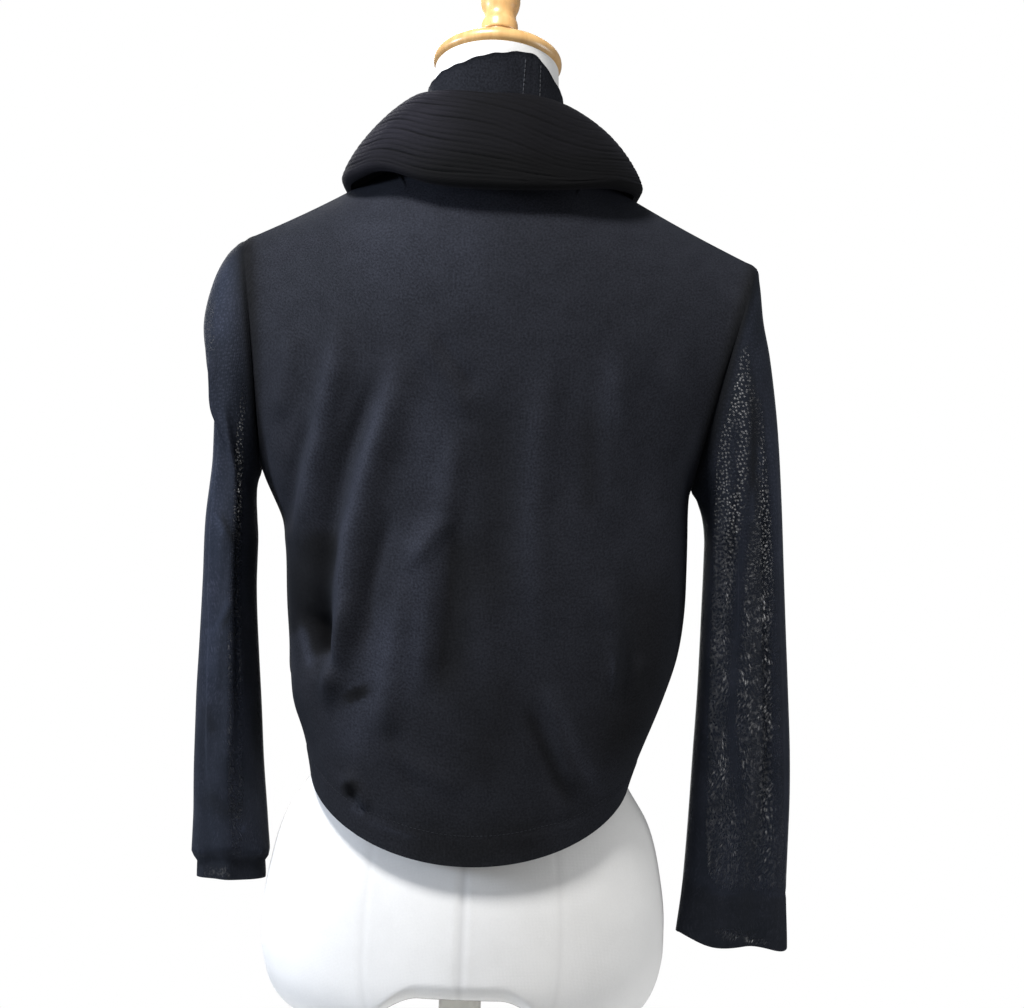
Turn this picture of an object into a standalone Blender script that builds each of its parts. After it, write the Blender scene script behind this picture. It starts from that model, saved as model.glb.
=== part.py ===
"""Fine knit cardigan with a folded ribbed collar, worn on a limbless dress form on a stand.

Metres, +Z up. The garment's front faces -Y and its back +Y; +X is the wearer's left.
The origin is at the centre of the stand base's underside. Garment and form tables give
heights above the chest level, which is CHEST_LEVEL above the floor.
"""
import math

import bmesh
import bpy
import numpy as np
from mathutils import Matrix, Vector

# Driving dimensions
CHEST_LEVEL = 0.90
SEAM_GAP = 0.0003
BODY_WALL = 0.0016
SLEEVE_WALL = 0.0011
STAND_WALL = 0.0016
RIB_WALL = 0.0024
RIB_RAISE = 0.0009

HEM_SIDE_HEIGHT = -0.217
BACK_HEM_DROP = 0.0655
BACK_HEM_CURVE = 0.60
FRONT_HEM_LIFT = 0.022
FRONT_HEM_SAG = 0.008
FRONT_HEM_CURVE = 2.5
HEM_CURVE_ROWS = 0.85
HEM_CURVE_FADE = 1.6
SHOULDER_SLOPE_FROM_ROW = 0.3
SHOULDER_SAG = 0.0024
YOKE_DROP = 0.13
BODY_ROUNDNESS = 0.72
ARMHOLE_DEPTH = 0.050
ARMHOLE_BOW = 0.003
ARMHOLE_BOW_RINGS = 2.5
ARMHOLE_FACING = 52.0
ARMHOLE_TURN_ROWS = 0.45
SLEEVE_STANDOFF = 0.0004

BODY_ROWS_BELOW_ARM = 13
ARMHOLE_ROWS = 9
BACK_NECK_COLUMNS = 8
SHOULDER_COLUMNS = 9
FRONT_NECK_COLUMNS = 4
FOLD_FADE_STEPS = 2.0
SLEEVE_RINGS = 16
CUFF_RING = 12.0
CUFF_DROP = {"left": 0.0150, "right": 0.0045}
CUFF_WAVE = {"left": 0.0, "right": 0.0025}
HOLLOW_FADE_RINGS = 1.5
HOLLOW_SIDE_SHARE = 0.6

BAND_WIDTH = 0.040
BAND_RIBS = 4
BAND_HEM_RISE = 0.10
BAND_NECK_SLOPE = 0.80
BAND_NECK_SLOPE_ROW = 1.3
BAND_NECK_ROW = 1.8
BAND_NECK_NARROWING = 0.35
BAND_NECK_DROP = 0.0035

COLLAR_END_ANGLE = 160.0
ROLL_RIBS = 10
ROLL_FULLNESS_BEHIND = 1.30
ROLL_FULLNESS_BESIDE = 1.50
ROLL_FULLNESS_RUN = 75.0
BEND_STEPS = 180
ROLL_TURN = 0.006
ROLL_TURN_ANGLES = (50.0, 100.0)
ROLL_SEAM_OUT = 0.0009
ROLL_SEAM_UP = 0.0022
ROLL_LEG_INSET = 0.0060
ROLL_LEG_DROP = 0.0075
ROLL_BEND_INSET = 0.0028
ROLL_BEND_DROP = 0.0018
RIB_CROWDING = 0.55
RIB_CROWDING_FROM = 5.0
RIB_CROWDING_RUN = 70.0
STAND_ROWS = 4
STAND_SEAM_OUT = 0.0004
STAND_SEAM_UP = 0.0012
STAND_HOLLOW = 0.0050
STAND_PEAK_HEIGHT = 0.0100
STAND_PEAK_ANGLE = -30.0
STAND_PEAK_SPREAD = 32.0
RIGHT_SAG = 0.0078
RIGHT_SAG_FROM = 5.0
RIGHT_SAG_RUN = 75.0
RIGHT_SAG_TO = 150.0
RIGHT_SAG_FADE = 50.0

FORM_COLUMNS = 28
ROUND_COLUMNS = 24
CAP_TILT = 20.0
CAP_RADIUS = 0.053
CAP_THICKNESS = 0.0115
CAP_CENTRE_HEIGHT = 0.361
POLE_RADIUS = 0.0172
FLANGE_RADIUS = 0.0270
FLANGE_HEIGHT = 0.0065
FLANGE_FOOT_RADIUS = 0.0235
FLANGE_EDGE = 0.0012
BASE_RADIUS = 0.165
BASE_THICKNESS = 0.014
BASE_LIP = 0.003
BASE_SHOULDER = 0.005
ARCH_TOP = -0.3910
ARCH_FLAT = 0.032
ARCH_RUN = 0.062
FORM_FOOT = -0.4200
FORM_FOOT_RINGS = 4
FORM_FOOT_STEP = 0.007
NECK_TOP_RADIUS = 0.0505
NECK_TOP_FLATNESS = 0.965


def named(columns, rows):
    """A short table, read by column name."""
    return {column: np.array(values, float) for column, values in zip(columns, zip(*rows))}


def along(table, key, column, at):
    """Smooth value of a table's column at one or more values of its key column."""
    knots, values = table[key], table[column]
    at = np.clip(np.asarray(at, float), knots[0], knots[-1])
    chords = np.diff(values) / np.diff(knots)
    slopes = np.empty_like(values)
    slopes[0], slopes[-1] = chords[0], chords[-1]
    slopes[1:-1] = 0.5 * (chords[:-1] + chords[1:])
    flat = chords[:-1] * chords[1:] <= 0
    slopes[1:-1][flat] = 0.0
    left = np.clip(np.searchsorted(knots, at, side="right") - 1, 0, len(knots) - 2)
    span = knots[left + 1] - knots[left]
    t = (at - knots[left]) / span
    start = (2 * t ** 3 - 3 * t ** 2 + 1) * values[left] + (t ** 3 - 2 * t ** 2 + t) * span * slopes[left]
    end = (3 * t ** 2 - 2 * t ** 3) * values[left + 1] + (t ** 3 - t ** 2) * span * slopes[left + 1]
    return start + end


def ease(t):
    """Zero to one with level ends."""
    t = np.clip(t, 0.0, 1.0)
    return t * t * (3 - 2 * t)


# The body's half widths at its sides, each height with the depth behind and before.
BODY = named(
    ("height", "left", "right", "back", "front"),
    (
        (-0.290, 0.1285, 0.1290, 0.114, 0.108),
        (-0.217, 0.1285, 0.1305, 0.113, 0.108),
        (-0.195, 0.1340, 0.1380, 0.113, 0.110),
        (-0.165, 0.1412, 0.1515, 0.112, 0.111),
        (-0.142, 0.1502, 0.1600, 0.111, 0.112),
        (-0.120, 0.1508, 0.1665, 0.111, 0.113),
        (-0.085, 0.1545, 0.1710, 0.110, 0.117),
        (-0.040, 0.1572, 0.1715, 0.109, 0.120),
        (-0.018, 0.1606, 0.1712, 0.108, 0.121),
        (-0.003, 0.1679, 0.1708, 0.107, 0.121),
        (0.0215, 0.1795, 0.1720, 0.106, 0.118),
        (0.100, 0.1850, 0.1950, 0.105, 0.103),
        (0.2085, 0.2010, 0.2193, 0.103, 0.084),
    ),
)

# Shoulder tips and underarm points, across and up.
SHOULDER_TIP = {"left": (0.2010, 0.2085), "right": (0.2193, 0.2024)}
UNDERARM = {"left": (0.1795, 0.0215), "right": (0.1720, 0.0170)}

# The neckline, by the angle round the neck from the centre back.
NECKLINE = named(
    ("angle", "x", "y", "z"),
    (
        (0, 0.0000, 0.0640, 0.2620),
        (30, 0.0370, 0.0560, 0.2640),
        (60, 0.0655, 0.0340, 0.2700),
        (90, 0.0775, 0.0000, 0.2750),
        (110, 0.0755, -0.0340, 0.2645),
        (130, 0.0655, -0.0600, 0.2480),
        (150, 0.0470, -0.0780, 0.2180),
        (165, 0.0260, -0.0850, 0.2030),
        (180, 0.0000, -0.0870, 0.1980),
    ),
)

# Where the ribbed collar folds over, by the same angle.
FOLD_LINE = named(
    ("angle", "x", "y", "z"),
    (
        (0, 0.0000, 0.0680, 0.3270),
        (30, 0.0340, 0.0600, 0.3290),
        (60, 0.0570, 0.0360, 0.3300),
        (90, 0.0660, 0.0000, 0.3275),
        (110, 0.0700, -0.0330, 0.3160),
        (130, 0.0640, -0.0640, 0.2940),
        (150, 0.0465, -0.0880, 0.2620),
        (165, 0.0270, -0.0970, 0.2420),
    ),
)

# The free edge of the folded collar.
FALL_EDGE = named(
    ("angle", "x", "y", "z"),
    (
        (0, 0.0000, 0.0980, 0.2475),
        (30, 0.0560, 0.0890, 0.2495),
        (60, 0.1040, 0.0560, 0.2560),
        (90, 0.1225, 0.0050, 0.2545),
        (105, 0.1200, -0.0360, 0.2492),
        (115, 0.1150, -0.0590, 0.2400),
        (130, 0.1020, -0.0880, 0.2130),
        (150, 0.0760, -0.1130, 0.1780),
        (165, 0.0500, -0.1220, 0.1580),
    ),
)

# The free top of the plain collar stand.
STAND_TOP = named(
    ("angle", "x", "y", "z"),
    (
        (0, 0.0000, 0.0600, 0.3560),
        (30, 0.0300, 0.0530, 0.3520),
        (60, 0.0500, 0.0310, 0.3410),
        (90, 0.0560, 0.0000, 0.3330),
        (110, 0.0600, -0.0285, 0.3140),
        (130, 0.0555, -0.0560, 0.2900),
        (150, 0.0400, -0.0790, 0.2560),
        (165, 0.0210, -0.0870, 0.2360),
    ),
)

# Front edges of the two fronts, and the band beside each.
FRONT_EDGE = named(
    ("height", "x"),
    (
        (-0.240, 0.058),
        (-0.180, 0.056),
        (-0.050, 0.055),
        (0.080, 0.054),
        (0.150, 0.051),
        (0.2024, 0.047),
        (0.2085, 0.047),
    ),
)

# Largest soft folds of the body: head and foot of each ridge, half width and rise.
BACK_FOLDS = named(
    ("head_x", "head_z", "foot_x", "foot_z", "half_width", "rise"),
    (
        (0.112, 0.146, 0.136, -0.045, 0.011, 0.0050),
        (0.064, 0.132, 0.098, -0.060, 0.013, 0.0060),
        (0.098, -0.050, 0.116, -0.175, 0.012, 0.0070),
        (0.040, -0.030, 0.070, -0.190, 0.016, 0.0050),
        (0.150, 0.150, 0.165, 0.060, 0.009, 0.0030),
        (0.030, 0.105, 0.010, 0.060, 0.009, -0.0030),
        (0.122, -0.075, 0.108, -0.125, 0.011, -0.0080),
        (-0.058, 0.100, -0.044, 0.000, 0.012, 0.0035),
        (-0.110, 0.080, -0.108, 0.010, 0.012, 0.0035),
        (-0.060, -0.130, -0.088, -0.240, 0.012, 0.0040),
        (-0.104, -0.055, -0.112, -0.160, 0.012, -0.0040),
        (-0.140, 0.060, -0.150, -0.070, 0.012, 0.0040),
    ),
)
FRONT_FOLDS = named(
    ("head_x", "head_z", "foot_x", "foot_z", "half_width", "rise"),
    (
        (0.105, 0.060, 0.112, -0.180, 0.013, 0.0050),
        (0.135, 0.020, 0.128, -0.150, 0.012, 0.0040),
        (-0.100, 0.070, -0.106, -0.170, 0.014, 0.0050),
        (-0.140, 0.030, -0.136, -0.160, 0.012, 0.0040),
    ),
)

# Sleeve rings: outer and inner side of each, half depth, and how far the middle lies back.
LEFT_SLEEVE = named(
    ("ring", "outer_x", "outer_z", "inner_x", "inner_z", "half_depth", "middle_y"),
    (
        (0, 0.2010, 0.2085, 0.1795, 0.0215, 0.050, 0.000),
        (1, 0.2140, 0.1960, 0.1812, 0.0160, 0.053, 0.000),
        (2, 0.2250, 0.1730, 0.1828, 0.0090, 0.055, -0.001),
        (3, 0.2315, 0.1390, 0.1836, 0.0010, 0.055, -0.003),
        (4, 0.2270, 0.1080, 0.1834, -0.0090, 0.053, -0.004),
        (5, 0.2212, 0.0780, 0.1826, -0.0210, 0.051, -0.006),
        (6, 0.2203, 0.0350, 0.1812, -0.0400, 0.049, -0.007),
        (7, 0.2245, -0.0200, 0.1812, -0.0650, 0.048, -0.008),
        (8, 0.2250, -0.0700, 0.1802, -0.0920, 0.047, -0.010),
        (9, 0.2260, -0.1200, 0.1772, -0.1300, 0.046, -0.012),
        (10, 0.2272, -0.1700, 0.1733, -0.1740, 0.044, -0.014),
        (11, 0.2272, -0.2180, 0.1697, -0.2200, 0.043, -0.016),
        (12, 0.2262, -0.2640, 0.1650, -0.2620, 0.041, -0.018),
        (13, 0.2252, -0.2985, 0.1594, -0.2965, 0.040, -0.018),
    ),
)
RIGHT_SLEEVE = named(
    ("ring", "outer_x", "outer_z", "inner_x", "inner_z", "half_depth", "middle_y"),
    (
        (0, 0.2193, 0.2024, 0.1720, 0.0170, 0.050, 0.000),
        (1, 0.2225, 0.1850, 0.1765, 0.0120, 0.053, 0.000),
        (2, 0.2262, 0.1580, 0.1795, 0.0050, 0.055, -0.001),
        (3, 0.2325, 0.1300, 0.1826, -0.0040, 0.056, -0.002),
        (4, 0.2390, 0.0900, 0.1848, -0.0160, 0.056, -0.003),
        (5, 0.2434, 0.0540, 0.1856, -0.0300, 0.055, -0.004),
        (6, 0.2478, 0.0050, 0.1856, -0.0520, 0.052, -0.005),
        (7, 0.2512, -0.0400, 0.1854, -0.0800, 0.049, -0.006),
        (8, 0.2550, -0.0900, 0.1852, -0.1120, 0.045, -0.007),
        (9, 0.2590, -0.1400, 0.1846, -0.1520, 0.041, -0.008),
        (10, 0.2630, -0.1950, 0.1830, -0.2000, 0.036, -0.009),
        (11, 0.2645, -0.2450, 0.1816, -0.2470, 0.033, -0.010),
        (12, 0.2643, -0.3000, 0.1792, -0.2980, 0.030, -0.010),
        (13, 0.2661, -0.3520, 0.1747, -0.3440, 0.029, -0.010),
    ),
)

# Lengthwise hollows of a sleeve: direction round the ring (0 outer, 90 back), spread, depth, span.
LEFT_HOLLOWS = named(
    ("direction", "spread", "depth", "from_ring", "to_ring"),
    ((62, 20, 0.0050, 5, 13), (128, 22, 0.0045, 2, 11), (250, 26, 0.0060, 4, 12)),
)
RIGHT_HOLLOWS = named(
    ("direction", "spread", "depth", "from_ring", "to_ring"),
    ((68, 16, 0.0055, 3, 13), (122, 20, 0.0045, 5, 12), (245, 26, 0.0060, 4, 12)),
)

# The dress form: half width and depths behind and before at each height.
FORM = named(
    ("height", "half_width", "back", "front"),
    (
        (-0.4200, 0.1280, 0.088, 0.082),
        (-0.4120, 0.1420, 0.098, 0.092),
        (-0.4000, 0.1530, 0.104, 0.098),
        (-0.3700, 0.1630, 0.108, 0.102),
        (-0.3400, 0.1640, 0.107, 0.102),
        (-0.3000, 0.1595, 0.102, 0.099),
        (-0.2570, 0.1480, 0.092, 0.092),
        (-0.2190, 0.1262, 0.081, 0.085),
        (-0.1600, 0.1160, 0.068, 0.078),
        (-0.1000, 0.1240, 0.070, 0.086),
        (-0.0400, 0.1360, 0.077, 0.101),
        (0.0200, 0.1450, 0.083, 0.109),
        (0.0700, 0.1520, 0.086, 0.102),
        (0.1300, 0.1650, 0.086, 0.083),
        (0.1750, 0.1740, 0.081, 0.072),
        (0.1970, 0.1760, 0.074, 0.066),
        (0.2105, 0.1710, 0.0675, 0.062),
        (0.2222, 0.1596, 0.0617, 0.058),
        (0.2340, 0.1402, 0.0585, 0.055),
        (0.2480, 0.1110, 0.0560, 0.053),
        (0.2630, 0.0795, 0.0545, 0.0525),
        (0.2820, 0.0580, 0.0535, 0.0520),
        (0.3000, 0.0540, 0.0525, 0.0515),
        (0.3300, 0.0520, 0.0515, 0.0515),
    ),
)

# Heights of the form's rings.
FORM_RINGS = (
    -0.4200, -0.4120, -0.4000, -0.3750, -0.3400, -0.3000, -0.2600, -0.2250, -0.1900, -0.1500, -0.1000, -0.0400,
    0.0200, 0.0750, 0.1300, 0.1700, 0.1970, 0.2130, 0.2260, 0.2390, 0.2540, 0.2680, 0.2850, 0.3100,
)

# Where the fall of the collar is hitched up: angle round the neck, spread and rise.
COLLAR_HITCHES = ((48.0, 17.0, 0.0070), (-98.0, 16.0, 0.0018))

# Radius and height of the turned wooden pieces: the cap about its middle, the post above the cap.
CAP_PROFILE = ((0.0495, -0.00575), (0.0522, -0.0033), (CAP_RADIUS, 0.0), (0.0522, 0.0033), (0.0495, 0.00575))
FINIAL_PROFILE = (
    (0.0150, 0.000), (0.0152, 0.010), (0.0147, 0.0115), (0.0153, 0.013), (0.0153, 0.0195), (0.0148, 0.021),
    (0.0156, 0.0225), (0.0158, 0.030), (0.0140, 0.034), (0.0135, 0.039), (0.0165, 0.047), (0.0170, 0.055),
    (0.0145, 0.063), (0.0090, 0.069), (0.0035, 0.07155),
)

# Radius and height above the base plate of the hub that carries the pole.
HUB_PROFILE = ((0.036, 0.003), (0.027, 0.010), (0.0245, 0.028), (0.0225, 0.030))


def side_sign(side):
    return 1.0 if side == "left" else -1.0


def armhole_point(side, turn):
    """A point of the armhole, turn 0 at the shoulder tip, 90 behind, 180 under the arm."""
    tip, under = SHOULDER_TIP[side], UNDERARM[side]
    c, s = math.cos(math.radians(turn)), math.sin(math.radians(turn))
    x = 0.5 * (tip[0] + under[0]) + 0.5 * (tip[0] - under[0]) * c - ARMHOLE_BOW * s * s
    z = 0.5 * (tip[1] + under[1]) + 0.5 * (tip[1] - under[1]) * c
    return np.array((side_sign(side) * x, ARMHOLE_DEPTH * s, z))


def body_rows():
    """How far up each row of the body lies: 0 at the hem, 1 at the underarm, 2 at the shoulder."""
    below = np.linspace(0.0, 1.0, BODY_ROWS_BELOW_ARM + 1)
    return np.concatenate((below, np.linspace(1.0, 2.0, ARMHOLE_ROWS + 1)[1:]))


def side_edge(side, row, facing):
    """The side seam and armhole edge of a body panel; facing is +1 behind and -1 before."""
    if row >= 1.0:
        point = armhole_point(side, 180.0 * (2.0 - row))
        return np.array((point[0], facing * point[1], point[2]))
    height = HEM_SIDE_HEIGHT + (UNDERARM[side][1] - HEM_SIDE_HEIGHT) * row
    width = float(along(BODY, "height", side, height))
    if row > 0.999:
        width = UNDERARM[side][0]
    return np.array((side_sign(side) * width, 0.0, height))


def folds_at(folds, x, z):
    """Rise of the soft folds at a place on the body."""
    total = 0.0
    for k in range(len(folds["rise"])):
        head = np.array((folds["head_x"][k], folds["head_z"][k]))
        foot = np.array((folds["foot_x"][k], folds["foot_z"][k]))
        run = foot - head
        t = float(np.dot(np.array((x, z)) - head, run) / np.dot(run, run))
        nearest = head + run * min(max(t, 0.0), 1.0)
        off = math.hypot(x - nearest[0], z - nearest[1]) / folds["half_width"][k]
        total += folds["rise"][k] * math.exp(-off * off)
    return total


def panel_top(side, facing, share):
    """A panel's top edge: share 0 to 1 along the neckline, then 1 to 2 along the shoulder."""
    sign = side_sign(side)
    if share <= 1.0:
        angle = 90.0 * share if facing > 0 else 150.0 - 60.0 * share
        return np.array([sign * along(NECKLINE, "angle", "x", angle),
                         along(NECKLINE, "angle", "y", angle),
                         along(NECKLINE, "angle", "z", angle)])
    neck = np.array((sign * NECKLINE["x"][3], 0.0, NECKLINE["z"][3]))
    tip = np.array((sign * SHOULDER_TIP[side][0], 0.0, SHOULDER_TIP[side][1]))
    point = neck + (tip - neck) * (share - 1.0)
    point[2] -= SHOULDER_SAG * math.sin(math.pi * (share - 1.0))
    return point


def panel_point(side, facing, row, share):
    """A point of the outside of the body's cloth, before its folds."""
    sign = side_sign(side)
    edge = side_edge(side, row, facing)
    top = panel_top(side, facing, share)
    middle_top = panel_top(side, facing, 0.0)
    inner_x = 0.0 if facing > 0 else float(along(FRONT_EDGE, "height", "x", edge[2]))
    top_inner = abs(middle_top[0])
    top_outer = SHOULDER_TIP[side][0]
    fraction = (abs(top[0]) - top_inner) / (top_outer - top_inner)
    across = inner_x / abs(edge[0])
    facing_angle = math.radians(90.0 - (90.0 - ARMHOLE_FACING) * float(ease((row - 1.0) / ARMHOLE_TURN_ROWS)))
    # Lower down, the columns gather toward the side where the cloth turns round the body,
    # and a front's columns leave the neckline outward.
    if facing > 0:
        level = float(ease(row / 2.0)) ** 2
        spread = fraction
    else:
        level = (row / 2.0) ** 6
        columns = min(share, 1.0) * FRONT_NECK_COLUMNS + max(0.0, share - 1.0) * SHOULDER_COLUMNS
        spread = columns / (FRONT_NECK_COLUMNS + SHOULDER_COLUMNS)
    gathered = math.sin(facing_angle * spread) / math.sin(facing_angle)
    reach = gathered * (1 - level) + fraction * level
    share_x = across + (1.0 - across) * reach
    x = share_x * abs(edge[0])
    turn = math.asin(min(1.0, share_x * math.sin(facing_angle)))
    floor = math.cos(facing_angle)
    bulge = max(0.0, (math.cos(turn) - floor) / (1.0 - floor)) ** BODY_ROUNDNESS
    hem_weight = max(0.0, 1.0 - row / HEM_CURVE_ROWS) ** HEM_CURVE_FADE
    top_weight = float(ease((row - SHOULDER_SLOPE_FROM_ROW) / (2.0 - SHOULDER_SLOPE_FROM_ROW)))
    if facing > 0:
        hem = -BACK_HEM_DROP * max(0.0, 1.0 - share_x ** 2) ** BACK_HEM_CURVE
    else:
        hem = FRONT_HEM_LIFT * (1 - reach) ** FRONT_HEM_CURVE - FRONT_HEM_SAG * math.sin(math.pi * reach)
    z = edge[2] + hem * hem_weight + (top[2] - SHOULDER_TIP[side][1]) * top_weight
    depth = float(along(BODY, "height", "back" if facing > 0 else "front", z))
    full = abs(edge[1]) + (depth - abs(edge[1])) * bulge
    under = min(1.0, max(0.0, (top[2] - z) / YOKE_DROP))
    yoke = math.sqrt(1.0 - (1.0 - under) ** 2)
    y = abs(top[1]) + (full - abs(top[1])) * yoke
    if row >= 1.0 and share >= 2.0:
        return edge
    return np.array((sign * x, facing * y, z))


def grid_normals(points, round_about=False):
    """Normals of a grid of points, from the rows and columns beside each."""
    if round_about:
        across = np.roll(points, -1, axis=1) - np.roll(points, 1, axis=1)
    else:
        across = np.gradient(points, axis=1)
    up = np.gradient(points, axis=0)
    normals = np.cross(across, up)
    return normals / np.maximum(np.linalg.norm(normals, axis=2, keepdims=True), 1e-12)


def panel_normals(points, facing):
    """Outward normals of a body panel; facing is +1 behind and -1 before."""
    normals = grid_normals(points)
    return normals * facing * np.sign(np.mean(normals[..., 1]))


def pull_in(points, gap=SEAM_GAP / 2, rows=(True, True), columns=(True, True)):
    """Draw the chosen edges of a panel in by half a seam gap."""
    drawn = points.copy()
    edges = ((rows[0], (0, slice(None)), (1, slice(None))),
             (rows[1], (-1, slice(None)), (-2, slice(None))),
             (columns[0], (slice(None), 0), (slice(None), 1)),
             (columns[1], (slice(None), -1), (slice(None), -2)))
    for wanted, edge, beside in edges:
        if not wanted:
            continue
        step = points[beside] - points[edge]
        drawn[edge] += step / np.linalg.norm(step, axis=1, keepdims=True) * gap
    return drawn


def material(name, colour, roughness, metallic=0.0):
    made = bpy.data.materials.new(name)
    made.use_nodes = True
    shader = made.node_tree.nodes["Principled BSDF"]
    shader.inputs["Base Color"].default_value = (*colour, 1.0)
    shader.inputs["Roughness"].default_value = roughness
    shader.inputs["Metallic"].default_value = metallic
    return made


def finish(name, mesh_points, faces, finish_material, smooth_angle=40.0, height=CHEST_LEVEL):
    """Make the named object from points and faces, closed and facing out."""
    mesh = bpy.data.meshes.new(name)
    mesh.from_pydata([tuple(map(float, p)) for p in mesh_points], [], faces)
    work = bmesh.new()
    work.from_mesh(mesh)
    bmesh.ops.remove_doubles(work, verts=work.verts, dist=1e-6)
    bmesh.ops.recalc_face_normals(work, faces=work.faces)
    if work.calc_volume(signed=True) < 0:
        bmesh.ops.reverse_faces(work, faces=work.faces)
    bmesh.ops.triangulate(work, faces=work.faces)
    work.to_mesh(mesh)
    work.free()
    mesh.shade_smooth()
    mesh.set_sharp_from_angle(angle=math.radians(smooth_angle))
    made = bpy.data.objects.new(name, mesh)
    made.location.z = height
    made.data.materials.append(finish_material)
    bpy.context.collection.objects.link(made)
    return made


def cloth(name, outside, inside, cloth_material, round_about=False):
    """A closed wall between two grids of points."""
    rows, columns = outside.shape[:2]
    points = np.concatenate((outside.reshape(-1, 3), inside.reshape(-1, 3)))
    half = rows * columns
    last = columns if round_about else columns - 1
    faces = []

    def at(r, c, layer=0):
        return layer * half + r * columns + c % columns

    for r in range(rows - 1):
        for c in range(last):
            faces.append((at(r, c), at(r, c + 1), at(r + 1, c + 1), at(r + 1, c)))
            faces.append((at(r, c, 1), at(r + 1, c, 1), at(r + 1, c + 1, 1), at(r, c + 1, 1)))
    for r in (0, rows - 1):
        for c in range(last):
            faces.append((at(r, c), at(r, c, 1), at(r, c + 1, 1), at(r, c + 1)))
    if not round_about:
        for c in (0, columns - 1):
            for r in range(rows - 1):
                faces.append((at(r, c), at(r + 1, c), at(r + 1, c, 1), at(r, c, 1)))
    return finish(name, points, faces, cloth_material)


def level_seams(normals, rows, side_columns, shoulder_columns):
    """Give both panels of a seam the same wall direction along it."""
    for r, row in enumerate(rows):
        if row <= 1.0:
            for c in side_columns:
                normals[r, c, 1] = 0.0
    for c in shoulder_columns:
        normals[-1, c, 1] = 0.0
    return normals / np.linalg.norm(normals, axis=2, keepdims=True)


def back_grid(rows, neck_columns, shoulder_columns):
    """The back's outside, from the wearer's left side to the right."""
    half_neck = np.linspace(0.0, 1.0, neck_columns // 2 + 1)
    half = np.concatenate((half_neck, np.linspace(1.0, 2.0, shoulder_columns + 1)[1:]))
    grid = []
    for row in rows:
        left = [panel_point("left", 1, row, share) for share in half[::-1]]
        right = [panel_point("right", 1, row, share) for share in half]
        left[-1] = 0.5 * (left[-1] + right[0])
        grid.append(left + right[1:])
    return np.array(grid)


def front_grid(side, rows, neck_columns, shoulder_columns):
    """One front's outside, from its front edge to its side."""
    shares = np.concatenate((np.linspace(0.0, 1.0, neck_columns + 1),
                             np.linspace(1.0, 2.0, shoulder_columns + 1)[1:]))
    return np.array([[panel_point(side, -1, row, share) for share in shares] for row in rows])


def add_folds(points, normals, folds):
    """Raise the soft folds, fading out at the side edges and the top."""
    rows, columns = points.shape[:2]
    raised = points.copy()
    for r in range(rows):
        for c in range(columns):
            from_edge = min(c, columns - 1 - c)
            fade = float(ease(from_edge / FOLD_FADE_STEPS) * ease((rows - 1 - r) / FOLD_FADE_STEPS))
            raised[r, c] += normals[r, c] * fade * folds_at(folds, points[r, c, 0], points[r, c, 2])
    return raised


def make_back(cloth_material):
    rows = body_rows()
    grid = back_grid(rows, BACK_NECK_COLUMNS, SHOULDER_COLUMNS)
    grid = add_folds(grid, panel_normals(grid, 1), BACK_FOLDS)
    columns = grid.shape[1]
    shoulders = list(range(SHOULDER_COLUMNS + 1)) + list(range(columns - SHOULDER_COLUMNS - 1, columns))
    normals = level_seams(panel_normals(grid, 1), rows, (0, columns - 1), shoulders)
    grid = pull_in(grid, rows=(False, True))
    return cloth("back", grid, grid - normals * BODY_WALL, cloth_material)


def make_front(side, cloth_material):
    rows = body_rows()
    grid = front_grid(side, rows, FRONT_NECK_COLUMNS, SHOULDER_COLUMNS)
    grid = add_folds(grid, panel_normals(grid, -1), FRONT_FOLDS)
    columns = grid.shape[1]
    shoulders = list(range(FRONT_NECK_COLUMNS, columns))
    normals = level_seams(panel_normals(grid, -1), rows, (columns - 1,), shoulders)
    grid = pull_in(grid, rows=(False, True))
    return cloth("front_" + side, grid, grid - normals * BODY_WALL, cloth_material)


def sleeve_point(side, ring, turn):
    """A point of a sleeve's outside; turn 0 outer side, 90 behind, 180 inner side."""
    table = LEFT_SLEEVE if side == "left" else RIGHT_SLEEVE
    hollows = LEFT_HOLLOWS if side == "left" else RIGHT_HOLLOWS
    values = {name: float(along(table, "ring", name, ring)) for name in table if name != "ring"}
    c, s = math.cos(math.radians(turn)), math.sin(math.radians(turn))
    x = 0.5 * (values["outer_x"] + values["inner_x"]) + 0.5 * (values["outer_x"] - values["inner_x"]) * c
    z = 0.5 * (values["outer_z"] + values["inner_z"]) + 0.5 * (values["outer_z"] - values["inner_z"]) * c
    y = values["middle_y"] + values["half_depth"] * s
    x -= ARMHOLE_BOW * s * s * max(0.0, 1.0 - ring / ARMHOLE_BOW_RINGS)
    dent = 0.0
    for k in range(len(hollows["depth"])):
        off = (turn - hollows["direction"][k] + 180.0) % 360.0 - 180.0
        start, stop = hollows["from_ring"][k], hollows["to_ring"][k]
        faded_in = ease((ring - start) / HOLLOW_FADE_RINGS)
        faded_out = ease((stop + HOLLOW_FADE_RINGS - ring) / HOLLOW_FADE_RINGS)
        span = float(faded_in * faded_out)
        dent += hollows["depth"][k] * span * math.exp(-(off / hollows["spread"][k]) ** 2)
    centre_x = 0.5 * (values["outer_x"] + values["inner_x"])
    off_centre = np.array((x - centre_x, y - values["middle_y"]))
    length = max(1e-6, float(np.linalg.norm(off_centre)))
    x -= off_centre[0] / length * dent * HOLLOW_SIDE_SHARE
    y -= off_centre[1] / length * dent
    cuff = max(0.0, ring - CUFF_RING)
    z -= cuff * (CUFF_DROP[side] * max(0.0, s) + CUFF_WAVE[side] * math.sin(math.radians(4 * turn)))
    return np.array((side_sign(side) * x, y, z))


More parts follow.
